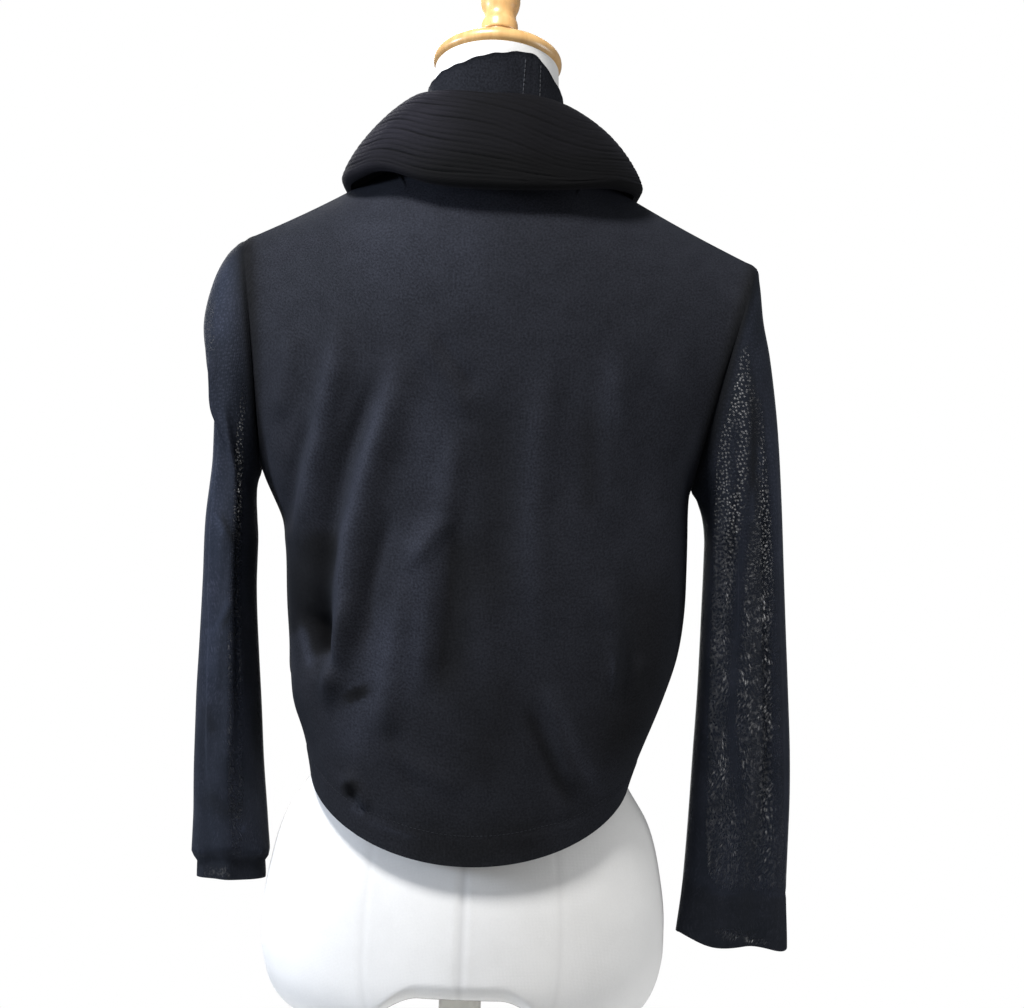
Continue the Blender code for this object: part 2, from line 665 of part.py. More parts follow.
def make_sleeve(side, cloth_material):
    turns = np.arange(2 * ARMHOLE_ROWS) * 180.0 / ARMHOLE_ROWS
    rings = np.linspace(0.0, LEFT_SLEEVE["ring"][-1], SLEEVE_RINGS + 1)
    grid = np.array([[sleeve_point(side, ring, turn) for turn in turns] for ring in rings])
    normals = grid_normals(grid, round_about=True)
    outward = grid[:, 0] - grid.mean(axis=1)
    normals *= np.sign(np.sum(normals[:, 0] * outward))
    # The head stands just clear of the armhole edges all round.
    sign = side_sign(side)
    grid[0, :, 0] += sign * (SLEEVE_STANDOFF + SLEEVE_WALL * np.maximum(0.0, sign * normals[0, :, 0]))
    return cloth("sleeve_" + side, grid, grid - normals * SLEEVE_WALL, cloth_material, round_about=True)


def collar_line(table, angle):
    sign = 1.0 if angle >= 0 else -1.0
    return np.array([sign * along(table, "angle", "x", abs(angle)),
                     along(table, "angle", "y", abs(angle)),
                     along(table, "angle", "z", abs(angle))])


def collar_angles():
    """Stations of the collar, every second one on a column of the body's neckline."""
    behind = np.linspace(0.0, 90.0, BACK_NECK_COLUMNS + 1)
    before = np.linspace(90.0, 150.0, FRONT_NECK_COLUMNS + 1)[1:]
    half = np.concatenate((behind, before, (COLLAR_END_ANGLE,)))
    return np.concatenate((half[::-1], -half[1:]))


def outward_from_neck(angle):
    """Level direction away from the neck at an angle round it."""
    edge, seam = collar_line(FALL_EDGE, angle), collar_line(NECKLINE, angle)
    step = edge - seam
    step[2] = 0.0
    return step / np.linalg.norm(step)


def right_sag(angle):
    """How much lower the collar's fold lies on the wearer's right than on the left."""
    begun = ease((-angle - RIGHT_SAG_FROM) / RIGHT_SAG_RUN)
    left_over = ease((angle + RIGHT_SAG_TO) / RIGHT_SAG_FADE)
    return RIGHT_SAG * float(begun * left_over)


def roll_section(angle):
    """The ribbed collar's outside at one station, from neckline over the fold to its free edge."""
    out = outward_from_neck(angle)
    up = np.array((0.0, 0.0, 1.0))
    seam = collar_line(NECKLINE, angle) + out * ROLL_SEAM_OUT + up * ROLL_SEAM_UP
    fold = collar_line(FOLD_LINE, angle) - up * right_sag(angle)
    beside = float(ease(abs(angle) / ROLL_FULLNESS_RUN))
    fullness = ROLL_FULLNESS_BEHIND + (ROLL_FULLNESS_BESIDE - ROLL_FULLNESS_BEHIND) * beside
    edge = collar_line(FALL_EDGE, angle) + up * ROLL_TURN
    for place, spread, rise in COLLAR_HITCHES:
        edge += up * rise * math.exp(-((angle - place) / spread) ** 2)
    leg_top = fold - out * ROLL_LEG_INSET - up * ROLL_LEG_DROP
    points = [seam, 0.5 * (seam + leg_top), leg_top, fold - out * ROLL_BEND_INSET - up * ROLL_BEND_DROP]
    ribs = [0.0] * len(points)
    steps = 2 * ROLL_RIBS
    # To the right the ribs run down and crowd together.
    crowd = 1.0 + RIB_CROWDING * float(ease((-angle - RIB_CROWDING_FROM) / RIB_CROWDING_RUN))
    bend = np.linspace(0.0, 0.5 * math.pi, BEND_STEPS + 1)
    run, drop = np.sin(bend) ** fullness, 1.0 - np.cos(bend) ** fullness
    length = np.concatenate(((0.0,), np.cumsum(np.hypot(np.diff(run), np.diff(drop)))))
    for k in range(steps + 1):
        at = length[-1] * (k / steps) ** (1.0 / crowd)
        across, down = np.interp(at, length, run), np.interp(at, length, drop)
        points.append(fold + (edge - fold) * np.array((across, across, down)))
        ribs.append(RIB_RAISE if k % 2 else 0.0)
    for turn in ROLL_TURN_ANGLES:
        c, sn = math.cos(math.radians(turn)), math.sin(math.radians(turn))
        points.append(edge + out * ROLL_TURN * (c - 1.0) - up * ROLL_TURN * sn)
        ribs.append(0.0)
    return points, ribs


def make_roll(cloth_material):
    sections = [roll_section(angle) for angle in collar_angles()]
    grid = np.array([section[0] for section in sections]).transpose(1, 0, 2)
    ribs = np.array([section[1] for section in sections]).T
    normals = grid_normals(grid)
    middle = len(grid) // 2
    normals *= np.sign(np.sum(normals[middle] * (grid[middle] - np.array((0.0, 0.0, 0.27)))))
    outside = grid + normals * ribs[..., None]
    return cloth("collar_roll", outside, grid - normals * RIB_WALL, cloth_material)


def stand_section(angle, rows):
    out = outward_from_neck(angle)
    seam = collar_line(NECKLINE, angle) + np.array((0.0, 0.0, STAND_SEAM_UP)) + out * STAND_SEAM_OUT
    top = collar_line(STAND_TOP, angle)
    top[2] += STAND_PEAK_HEIGHT * math.exp(-((angle - STAND_PEAK_ANGLE) / STAND_PEAK_SPREAD) ** 2)
    top[2] -= right_sag(angle)
    points = []
    for t in np.linspace(0.0, 1.0, rows + 1):
        point = seam + (top - seam) * t
        point -= out * STAND_HOLLOW * math.sin(math.pi * t)
        points.append(point)
    return points


def make_stand(cloth_material):
    grid = np.array([stand_section(angle, STAND_ROWS) for angle in collar_angles()]).transpose(1, 0, 2)
    normals = grid_normals(grid)
    middle = len(grid) // 2
    outward = grid[middle] * np.array((1.0, 1.0, 0.0))
    normals *= np.sign(np.sum(normals[middle] * outward))
    return cloth("collar_stand", grid, grid - normals * STAND_WALL, cloth_material)


def band_point(side, row, share):
    """A front band's outside; share 0 beside the front, 1 at the free edge."""
    sign = side_sign(side)
    start = panel_point(side, -1, row, 0.0)
    beside = panel_point(side, -1, row, 0.12)
    slope = (start[1] - beside[1]) / abs(beside[0] - start[0])
    at_neck = float(ease((row - BAND_NECK_ROW) / (2.0 - BAND_NECK_ROW)))
    width = BAND_WIDTH * share * (1.0 - BAND_NECK_NARROWING * at_neck)
    y = start[1] + slope * width * (1 - 0.5 * share)
    z = start[2] + BAND_HEM_RISE * width * max(0.0, 1.0 - row / HEM_CURVE_ROWS)
    z -= BAND_NECK_SLOPE * width * float(ease((row - BAND_NECK_SLOPE_ROW) / (2.0 - BAND_NECK_SLOPE_ROW)))
    z -= BAND_NECK_DROP * min(1.0, 4 * share) * at_neck
    return np.array((start[0] - sign * width, y, z))


def make_band(side, cloth_material):
    rows = body_rows()
    steps = 2 * BAND_RIBS
    shares = np.linspace(0.0, 1.0, steps + 1)
    grid = np.array([[band_point(side, row, share) for share in shares] for row in rows])
    normals = grid_normals(grid)
    normals *= -np.sign(np.mean(normals[..., 1]))
    grid = pull_in(grid, gap=SEAM_GAP, rows=(False, True), columns=(True, False))
    ribs = np.array([RIB_RAISE if c % 2 else 0.0 for c in range(steps + 1)])
    outside = grid + normals * ribs[None, :, None]
    return cloth("band_" + side, outside, grid - normals * RIB_WALL, cloth_material)


def arch(x):
    """Height of the form's lower edge across its width."""
    return ARCH_TOP + (FORM_FOOT - ARCH_TOP) * float(ease((abs(x) - ARCH_FLAT) / ARCH_RUN))


def form_ring(height, foot=False):
    angles = np.arange(FORM_COLUMNS) * 2 * math.pi / FORM_COLUMNS
    width = float(along(FORM, "height", "half_width", height))
    ring = []
    for angle in angles:
        c, s = math.cos(angle), math.sin(angle)
        depth = float(along(FORM, "height", "back" if s > 0 else "front", height))
        x, y = width * c, depth * s
        z = arch(x) if foot else height
        ring.append((x, y, z))
    return ring


def make_form(form_material):
    """One smooth torso with an arched lower edge and a neck cut to the cap's tilt."""
    lean = math.tan(math.radians(CAP_TILT))
    rings = []
    for k, height in enumerate(FORM_RINGS):
        ring = form_ring(height, foot=(k == 0))
        if 0 < k < FORM_FOOT_RINGS:
            ring = [(x, y, max(z, arch(x) + FORM_FOOT_STEP * k)) for x, y, z in ring]
        rings.append(ring)
    neck_top = CAP_CENTRE_HEIGHT - 0.5 * CAP_THICKNESS / math.cos(math.radians(CAP_TILT)) - SEAM_GAP
    top_ring = []
    for c in range(FORM_COLUMNS):
        angle = 2 * math.pi * c / FORM_COLUMNS
        x, y = NECK_TOP_RADIUS * math.cos(angle), NECK_TOP_FLATNESS * NECK_TOP_RADIUS * math.sin(angle)
        top_ring.append((x, y, neck_top + lean * y))
    rings.append(top_ring)
    points = [p for ring in rings for p in ring]
    faces = []
    n = FORM_COLUMNS
    for r in range(len(rings) - 1):
        for c in range(n):
            faces.append((r * n + c, r * n + (c + 1) % n, (r + 1) * n + (c + 1) % n, (r + 1) * n + c))
    half = n // 2
    for c in range(half):
        # The underside spans straight from front to back under the arch.
        quad = (c, c + 1, n - c - 1, (n - c) % n)
        faces.append(tuple(dict.fromkeys(quad)))
    faces.append(tuple(range((len(rings) - 1) * n, len(rings) * n)))
    return finish("form_torso", points, faces, form_material)


def turned(name, profile, turned_material, height=CHEST_LEVEL, tilt=0.0, centre=(0.0, 0.0, 0.0)):
    """A turned piece from a profile of radius and height, closed at both ends."""
    points, faces = [], []
    n = ROUND_COLUMNS
    for radius, z in profile:
        for c in range(n):
            angle = 2 * math.pi * c / n
            points.append(Vector((radius * math.cos(angle), radius * math.sin(angle), z)))
    for r in range(len(profile) - 1):
        for c in range(n):
            faces.append((r * n + c, r * n + (c + 1) % n, (r + 1) * n + (c + 1) % n, (r + 1) * n + c))
    faces.append(tuple(range(n)))
    faces.append(tuple(range((len(profile) - 1) * n, len(profile) * n)))
    place = Matrix.Translation(Vector(centre)) @ Matrix.Rotation(math.radians(tilt), 4, "X")
    return finish(name, [place @ p for p in points], faces, turned_material, height=height)


def make_cap(wood):
    return turned("neck_cap", CAP_PROFILE, wood, tilt=CAP_TILT, centre=(0.0, 0.0, CAP_CENTRE_HEIGHT))


def make_finial(wood):
    start = 0.5 * CAP_THICKNESS + SEAM_GAP
    profile = [(radius, start + above) for radius, above in FINIAL_PROFILE]
    return turned("neck_finial", profile, wood, tilt=CAP_TILT, centre=(0.0, 0.0, CAP_CENTRE_HEIGHT))


def make_stand_post(paint):
    flange_top = CHEST_LEVEL + ARCH_TOP - SEAM_GAP
    flange_foot = flange_top - FLANGE_HEIGHT
    flange = [(FLANGE_FOOT_RADIUS, flange_foot), (FLANGE_RADIUS, flange_foot + FLANGE_EDGE),
              (FLANGE_RADIUS, flange_top - FLANGE_EDGE), (FLANGE_RADIUS - FLANGE_EDGE, flange_top)]
    turned("pole_flange", flange, paint, height=0.0)
    hub_top = BASE_THICKNESS + HUB_PROFILE[-1][1]
    pole = [(POLE_RADIUS, hub_top + SEAM_GAP), (POLE_RADIUS, flange_foot - SEAM_GAP)]
    turned("pole", pole, paint, height=0.0)
    base = [(BASE_RADIUS - BASE_LIP, 0.0), (BASE_RADIUS, BASE_LIP),
            (BASE_RADIUS, BASE_THICKNESS - BASE_SHOULDER), (BASE_RADIUS - BASE_SHOULDER, BASE_THICKNESS)]
    base += [(radius, BASE_THICKNESS + above) for radius, above in HUB_PROFILE]
    turned("stand_base", base, paint, height=0.0)


def main():
    for old in list(bpy.data.objects):
        bpy.data.objects.remove(old, do_unlink=True)
    body_knit = material("body_knit", (0.012, 0.014, 0.018), 0.78)
    sleeve_mesh = material("sleeve_mesh", (0.016, 0.018, 0.023), 0.74)
    rib_knit = material("rib_knit", (0.011, 0.012, 0.017), 0.80)
    canvas = material("canvas", (0.78, 0.78, 0.76), 0.85)
    wood = material("wood", (0.62, 0.38, 0.18), 0.42)
    paint = material("paint", (0.80, 0.80, 0.77), 0.38)
    make_back(body_knit)
    for side in ("left", "right"):
        make_front(side, body_knit)
        make_sleeve(side, sleeve_mesh)
        make_band(side, rib_knit)
    make_roll(rib_knit)
    make_stand(body_knit)
    make_form(canvas)
    make_cap(wood)
    make_finial(wood)
    make_stand_post(paint)


main()
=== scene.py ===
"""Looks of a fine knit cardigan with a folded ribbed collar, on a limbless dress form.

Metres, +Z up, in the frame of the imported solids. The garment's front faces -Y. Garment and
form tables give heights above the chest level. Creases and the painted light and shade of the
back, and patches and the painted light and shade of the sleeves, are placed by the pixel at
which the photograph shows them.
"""
import math

import bpy
import numpy as np
from mathutils import Matrix, Vector


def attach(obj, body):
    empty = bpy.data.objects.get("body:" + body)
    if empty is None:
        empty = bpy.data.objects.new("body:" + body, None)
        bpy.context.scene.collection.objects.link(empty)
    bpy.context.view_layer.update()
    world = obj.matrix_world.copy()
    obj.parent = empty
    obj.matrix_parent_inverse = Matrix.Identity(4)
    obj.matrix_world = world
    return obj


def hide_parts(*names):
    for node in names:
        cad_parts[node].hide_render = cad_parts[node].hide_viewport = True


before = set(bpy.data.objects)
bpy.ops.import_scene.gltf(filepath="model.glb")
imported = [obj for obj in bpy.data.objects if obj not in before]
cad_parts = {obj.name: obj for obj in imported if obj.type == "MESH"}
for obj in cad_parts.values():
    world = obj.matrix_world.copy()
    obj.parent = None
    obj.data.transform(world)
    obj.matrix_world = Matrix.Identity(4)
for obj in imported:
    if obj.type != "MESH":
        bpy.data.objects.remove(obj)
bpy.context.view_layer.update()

# ---------------------------------------------------------------- sizes
CHEST_LEVEL = 0.90
CHEST_CENTRE = np.array((0.0, 0.0, CHEST_LEVEL))
BODY_WALL = 0.0016
SLEEVE_WALL = 0.0011
STAND_WALL = 0.0016
RIB_WALL = 0.0024
HEM_SIDE_HEIGHT = -0.217
BACK_HEM_DROP = 0.0655
BACK_HEM_CURVE = 0.60
HEM_HEIGHT = 0.024
RIGHT_CUFF_HEIGHT = 0.044
LEFT_CUFF_HEIGHT = 0.0145
SHOULDER_SAG = 0.0024
FRONT_HEM_LIFT = 0.022
FRONT_HEM_SAG = 0.008
YOKE_DROP = 0.13
BODY_ROUNDNESS = 0.72
ARMHOLE_DEPTH = 0.050
ARMHOLE_BOW = 0.003
ARMHOLE_FACING = 52.0
FRONT_NECK_COLUMNS = 4
SHOULDER_COLUMNS = 9
CREASE_DEPTH = 1.7
CREASE_SPREAD = 1.25
SLEEVE_CREASE_DEPTH = 1.5
SLEEVE_MEAN_RADIUS = 0.043
BAND_WIDTH = 0.040
COLLAR_END_ANGLE = 160.0
ROLL_FULLNESS_BEHIND = 1.30
ROLL_FULLNESS_BESIDE = 1.50
ROLL_TURN = 0.006
CAP_TILT = 20.0
CAP_RADIUS = 0.053
CAP_THICKNESS = 0.0115
CAP_CENTRE_HEIGHT = 0.361
POLE_RADIUS = 0.0172
FLANGE_RADIUS = 0.0270
FLANGE_HEIGHT = 0.0065
BASE_RADIUS = 0.165
BASE_THICKNESS = 0.014
ARCH_TOP = -0.3910
FORM_FOOT = -0.4200
NECK_TOP_RADIUS = 0.0505
JOINT_GAP = 0.0003

# How finely each piece is divided: rows or columns, in one count or below and above a corner.
BACK_ROWS, BACK_COLUMNS = (84, 58), (26, 62)
FRONT_ROWS, FRONT_COLUMNS = (66, 44), (14, 46)
BAND_COLUMNS = 49
SLEEVE_ROWS, SLEEVE_COLUMNS = 157, 112
ROLL_FALL_ROWS, ROLL_COLUMNS = 120, 241
STAND_ROWS, STAND_COLUMNS = 49, 201
FORM_COLUMNS = 240
TURNED_COLUMNS = 96
BACK_EVENING, FRONT_EVENING = 160, 100
CLOTH_CORNER, FORM_CORNER, TURNED_CORNER = 50.0, 60.0, 38.0

# Painted light and shade of each cloth where nothing is marked, from its shaded copy at 0 to its lit copy at 1,
# and how much the fronts' creases change it.
BACK_LIT_SHARE, FRONT_LIT_SHARE, SLEEVE_LIT_SHARE, FUNNEL_LIT_SHARE = 0.37, 0.36, 0.34, 0.30
FRONT_LIT_GAIN = 50.0

# The camera that took the photograph.
CAMERA_PLACE = np.array((-0.0264, 2.2, 0.9011))
CAMERA_RIGHT = np.array((-0.9992, 0.0, 0.03997))
CAMERA_UP = np.array((0.03997, 0.0, 0.9992))
FOCAL_PIXELS = 2684.0
PHOTO_WIDTH, PHOTO_HEIGHT = 1024, 1008

LIT_PLACE = (0.0, 0.0, 0.95)

SIGN = {"left": 1.0, "right": -1.0}


def named(columns, rows):
    """A short table, read by column name."""
    return {column: np.array(values, float) for column, values in zip(columns.split(), zip(*rows))}


def along(table, key, column, at):
    """Smooth value of a table's column at values of its key column."""
    knots, values = table[key], table[column]
    at = np.clip(np.asarray(at, float), knots[0], knots[-1])
    chords = np.diff(values) / np.diff(knots)
    slopes = np.empty_like(values)
    slopes[0], slopes[-1] = chords[0], chords[-1]
    slopes[1:-1] = 0.5 * (chords[:-1] + chords[1:])
    flat = chords[:-1] * chords[1:] <= 0
    slopes[1:-1][flat] = 0.0
    left = np.clip(np.searchsorted(knots, at, side="right") - 1, 0, len(knots) - 2)
    span = knots[left + 1] - knots[left]
    t = (at - knots[left]) / span
    start = (2 * t ** 3 - 3 * t ** 2 + 1) * values[left] + (t ** 3 - 2 * t ** 2 + t) * span * slopes[left]
    end = (3 * t ** 2 - 2 * t ** 3) * values[left + 1] + (t ** 3 - t ** 2) * span * slopes[left + 1]
    return start + end


def ease(t):
    """Zero to one with level ends."""
    t = np.clip(t, 0.0, 1.0)
    return t * t * (3 - 2 * t)


def bump(distance, width):
    """A soft bell, one at no distance."""
    return np.exp(-(distance / width) ** 2)


def sine(degrees):
    return np.sin(np.radians(degrees))


def cosine(degrees):
    return np.cos(np.radians(degrees))


def turned_from(turn, place):
    """Degrees from a place to a turn, the short way round."""
    return (turn - place + 180.0) % 360.0 - 180.0


def run_along(points, axis=0):
    """Length travelled at each point of a line, or along the lines of a grid."""
    steps = np.linalg.norm(np.diff(points, axis=axis), axis=-1)
    start = np.zeros_like(np.take(steps, (0,), axis=axis))
    return np.concatenate((start, np.cumsum(steps, axis=axis)), axis=axis)


def read_at(place, run, values):
    """A line's values where its run reaches a place."""
    return np.array([np.interp(place, run, column) for column in values.T])


def spaced(first, second):
    """Even steps from 0 to 1, then from 1 to 2."""
    return np.concatenate((np.linspace(0.0, 1.0, first + 1), np.linspace(1.0, 2.0, second + 1)[1:]))


def seen_at(points):
    """The photograph's pixel of each point."""
    off = points - CAMERA_PLACE
    depth = CAMERA_PLACE[1] - points[..., 1]
    across = PHOTO_WIDTH / 2 + FOCAL_PIXELS * (off @ CAMERA_RIGHT) / depth
    down = PHOTO_HEIGHT / 2 - FOCAL_PIXELS * (off @ CAMERA_UP) / depth
    return across, down


# ---------------------------------------------------------------- tables
BODY = named("height left right back front", (
    (-0.29, 0.1285, 0.129, 0.114, 0.108), (-0.217, 0.1285, 0.1305, 0.113, 0.108),
    (-0.195, 0.134, 0.138, 0.113, 0.11), (-0.165, 0.1412, 0.1515, 0.112, 0.111),
    (-0.142, 0.1502, 0.16, 0.111, 0.112), (-0.12, 0.1508, 0.1665, 0.111, 0.113),
    (-0.085, 0.1545, 0.171, 0.11, 0.117), (-0.04, 0.1572, 0.1715, 0.109, 0.12),
    (-0.018, 0.1606, 0.1712, 0.108, 0.121), (-0.003, 0.1679, 0.1708, 0.107, 0.121),
    (0.0215, 0.1795, 0.172, 0.106, 0.118), (0.1, 0.185, 0.195, 0.105, 0.103),
    (0.2085, 0.201, 0.2193, 0.103, 0.084),
))
SHOULDER_TIP = {"left": (0.2010, 0.2085), "right": (0.2193, 0.2024)}
UNDERARM = {"left": (0.1795, 0.0215), "right": (0.1720, 0.0170)}
NECKLINE = named("angle x y z", (
    (0, 0.0, 0.064, 0.262), (30, 0.037, 0.056, 0.264), (60, 0.0655, 0.034, 0.27), (90, 0.0775, 0.0, 0.275),
    (110, 0.0755, -0.034, 0.2645), (130, 0.0655, -0.06, 0.248), (150, 0.047, -0.078, 0.218),
    (165, 0.026, -0.085, 0.203), (180, 0.0, -0.087, 0.198),
))
FOLD_LINE = named("angle x y z", (
    (0, 0.0, 0.068, 0.327), (30, 0.034, 0.06, 0.329), (60, 0.057, 0.036, 0.33), (90, 0.066, 0.0, 0.3275),
    (110, 0.07, -0.033, 0.316), (130, 0.064, -0.064, 0.294), (150, 0.0465, -0.088, 0.262),
    (165, 0.027, -0.097, 0.242),
))
FALL_EDGE = named("angle x y z", (
    (0, 0.0, 0.098, 0.2475), (30, 0.056, 0.089, 0.2495), (60, 0.104, 0.056, 0.256),
    (90, 0.1225, 0.005, 0.2542), (105, 0.12, -0.036, 0.249), (115, 0.115, -0.059, 0.24),
    (130, 0.102, -0.088, 0.213), (150, 0.076, -0.113, 0.178), (165, 0.05, -0.122, 0.158),
))
STAND_TOP = named("angle x y z", (
    (0, 0.0, 0.06, 0.356), (30, 0.03, 0.053, 0.352), (60, 0.05, 0.031, 0.341), (90, 0.056, 0.0, 0.333),
    (110, 0.06, -0.0285, 0.314), (130, 0.0555, -0.056, 0.29), (150, 0.04, -0.079, 0.256),
    (165, 0.021, -0.087, 0.236),
))
FRONT_EDGE = named("height x", (
    (-0.24, 0.058), (-0.18, 0.056), (-0.05, 0.055), (0.08, 0.054), (0.15, 0.051), (0.2024, 0.047),
    (0.2085, 0.047),
))
LEFT_SLEEVE = named("ring outer_x outer_z inner_x inner_z half_depth middle_y", (
    (0, 0.201, 0.2085, 0.1795, 0.0215, 0.05, 0.0), (1, 0.214, 0.196, 0.1812, 0.016, 0.053, 0.0),
    (2, 0.225, 0.173, 0.1828, 0.009, 0.055, -0.001), (3, 0.2315, 0.139, 0.1836, 0.001, 0.055, -0.003),
    (4, 0.227, 0.108, 0.1834, -0.009, 0.053, -0.004), (5, 0.2212, 0.078, 0.1826, -0.021, 0.051, -0.006),
    (6, 0.2203, 0.035, 0.1812, -0.04, 0.049, -0.007), (7, 0.2245, -0.02, 0.1812, -0.065, 0.048, -0.008),
    (8, 0.225, -0.07, 0.1802, -0.092, 0.047, -0.01), (9, 0.226, -0.12, 0.1772, -0.13, 0.046, -0.012),
    (10, 0.2272, -0.17, 0.1733, -0.174, 0.044, -0.014), (11, 0.2272, -0.218, 0.1697, -0.22, 0.043, -0.016),
    (12, 0.2262, -0.264, 0.165, -0.262, 0.041, -0.018), (13, 0.2252, -0.2985, 0.1594, -0.2965, 0.04, -0.018),
))
RIGHT_SLEEVE = named("ring outer_x outer_z inner_x inner_z half_depth middle_y", (
    (0, 0.2193, 0.2024, 0.172, 0.017, 0.05, 0.0), (1, 0.2225, 0.185, 0.1765, 0.012, 0.053, 0.0),
    (2, 0.2262, 0.158, 0.1795, 0.005, 0.055, -0.001), (3, 0.2325, 0.13, 0.1826, -0.004, 0.056, -0.002),
    (4, 0.239, 0.09, 0.1848, -0.016, 0.056, -0.003), (5, 0.2434, 0.054, 0.1856, -0.03, 0.055, -0.004),
    (6, 0.2478, 0.005, 0.1856, -0.052, 0.052, -0.005), (7, 0.2512, -0.04, 0.1854, -0.08, 0.049, -0.006),
    (8, 0.255, -0.09, 0.1852, -0.112, 0.045, -0.007), (9, 0.259, -0.14, 0.1846, -0.152, 0.041, -0.008),
    (10, 0.263, -0.195, 0.183, -0.2, 0.036, -0.009), (11, 0.2645, -0.245, 0.1816, -0.247, 0.033, -0.01),
    (12, 0.2643, -0.3, 0.1792, -0.298, 0.03, -0.01), (13, 0.2661, -0.352, 0.1747, -0.344, 0.029, -0.01),
))
# Hollows down a sleeve: direction, spread, depth, first and last ring.
LEFT_HOLLOWS = (
    (62, 20, 0.005, 5, 13), (128, 22, 0.0045, 2, 11), (250, 26, 0.006, 4, 12),
)
RIGHT_HOLLOWS = (
    (68, 16, 0.0055, 3, 13), (122, 20, 0.0045, 5, 12), (245, 26, 0.006, 4, 12),
)
FORM = named("height half_width back front", (
    (-0.42, 0.128, 0.088, 0.082), (-0.412, 0.142, 0.098, 0.092), (-0.4, 0.153, 0.104, 0.098),
    (-0.37, 0.163, 0.108, 0.102), (-0.34, 0.164, 0.107, 0.102), (-0.3, 0.1595, 0.102, 0.099),
    (-0.257, 0.148, 0.092, 0.092), (-0.219, 0.1262, 0.081, 0.085), (-0.16, 0.116, 0.068, 0.078),
    (-0.1, 0.124, 0.07, 0.086), (-0.04, 0.136, 0.077, 0.101), (0.02, 0.145, 0.083, 0.109),
    (0.07, 0.152, 0.086, 0.102), (0.13, 0.165, 0.086, 0.083), (0.175, 0.174, 0.081, 0.072),
    (0.197, 0.176, 0.074, 0.066), (0.2105, 0.171, 0.0675, 0.062), (0.2222, 0.1596, 0.0617, 0.058),
    (0.234, 0.1402, 0.0585, 0.055), (0.248, 0.111, 0.056, 0.053), (0.263, 0.0795, 0.0545, 0.0525),
    (0.282, 0.058, 0.0535, 0.052), (0.3, 0.054, 0.0525, 0.0515), (0.33, 0.052, 0.0515, 0.0515),
))

# Creases of the back: the photograph's pixels along each, its width to either side, and its rise.
BACK_CREASES = (
    (((295, 318), (288, 370), (280, 425)), 8, 9, 0.0022),
    (((345, 303), (331, 380), (312, 460), (303, 520), (302, 570)), 9, 12, 0.0052),
    (((318, 400), (296, 470), (286, 540)), 7, 9, -0.0026),
    (((407, 322), (395, 380), (371, 460), (351, 540), (341, 630), (329, 712)), 10, 14, 0.0058),
    (((385, 360), (350, 450), (329, 540), (322, 600)), 9, 9, -0.0034),
    (((407, 325), (445, 375), (471, 425)), 7, 8, 0.002),
    (((432, 330), (452, 362), (478, 398)), 5, 7, -0.0016),
    (((461, 412), (447, 520), (391, 585)), 10, 7, 0.0026),
    (((425, 505), (427, 600), (420, 700)), 11, 9, 0.0022),
    (((450, 490), (447, 600), (436, 715)), 10, 16, -0.0018),
    (((429, 558), (404, 592), (390, 680), (380, 752)), 11, 12, 0.0034),
    (((395, 500), (372, 580), (360, 660)), 7, 8, -0.0022),
    (((546, 350), (533, 450), (530, 560), (536, 650)), 12, 16, 0.0021),
    (((572, 352), (562, 450), (556, 560)), 9, 11, -0.0012),
    (((614, 345), (611, 430), (613, 540)), 11, 12, 0.0019),
    (((663, 345), (678, 410), (686, 470)), 9, 9, 0.0016),
    (((638, 350), (645, 440), (650, 540)), 10, 11, -0.0014),
    (((495, 380), (500, 480), (498, 600)), 16, 16, -0.0016),
    (((545, 678), (562, 740), (581, 806)), 7, 8, 0.0022),
    (((524, 698), (544, 755), (565, 812)), 6, 7, -0.0018),
    (((595, 573), (616, 632), (610, 702)), 7, 9, 0.0024), (((640, 655), (636, 702)), 5, 5, 0.0014),
    (((626, 560), (632, 640), (622, 720)), 8, 8, -0.0016),
    (((300, 604), (331, 656), (346, 684)), 4, 6, -0.0026),
    (((352, 586), (340, 650), (325, 712)), 5, 8, 0.0034),
    (((343, 768), (356, 790), (368, 814)), 7, 6, 0.0026), (((351, 788), (364, 815)), 3, 4, -0.0022),
    (((372, 740), (420, 772), (470, 792)), 9, 9, 0.0014),
    (((388, 716), (402, 764), (424, 800)), 6, 6, -0.0012),
    (((480, 560), (486, 650), (500, 742)), 12, 12, 0.0014),
)
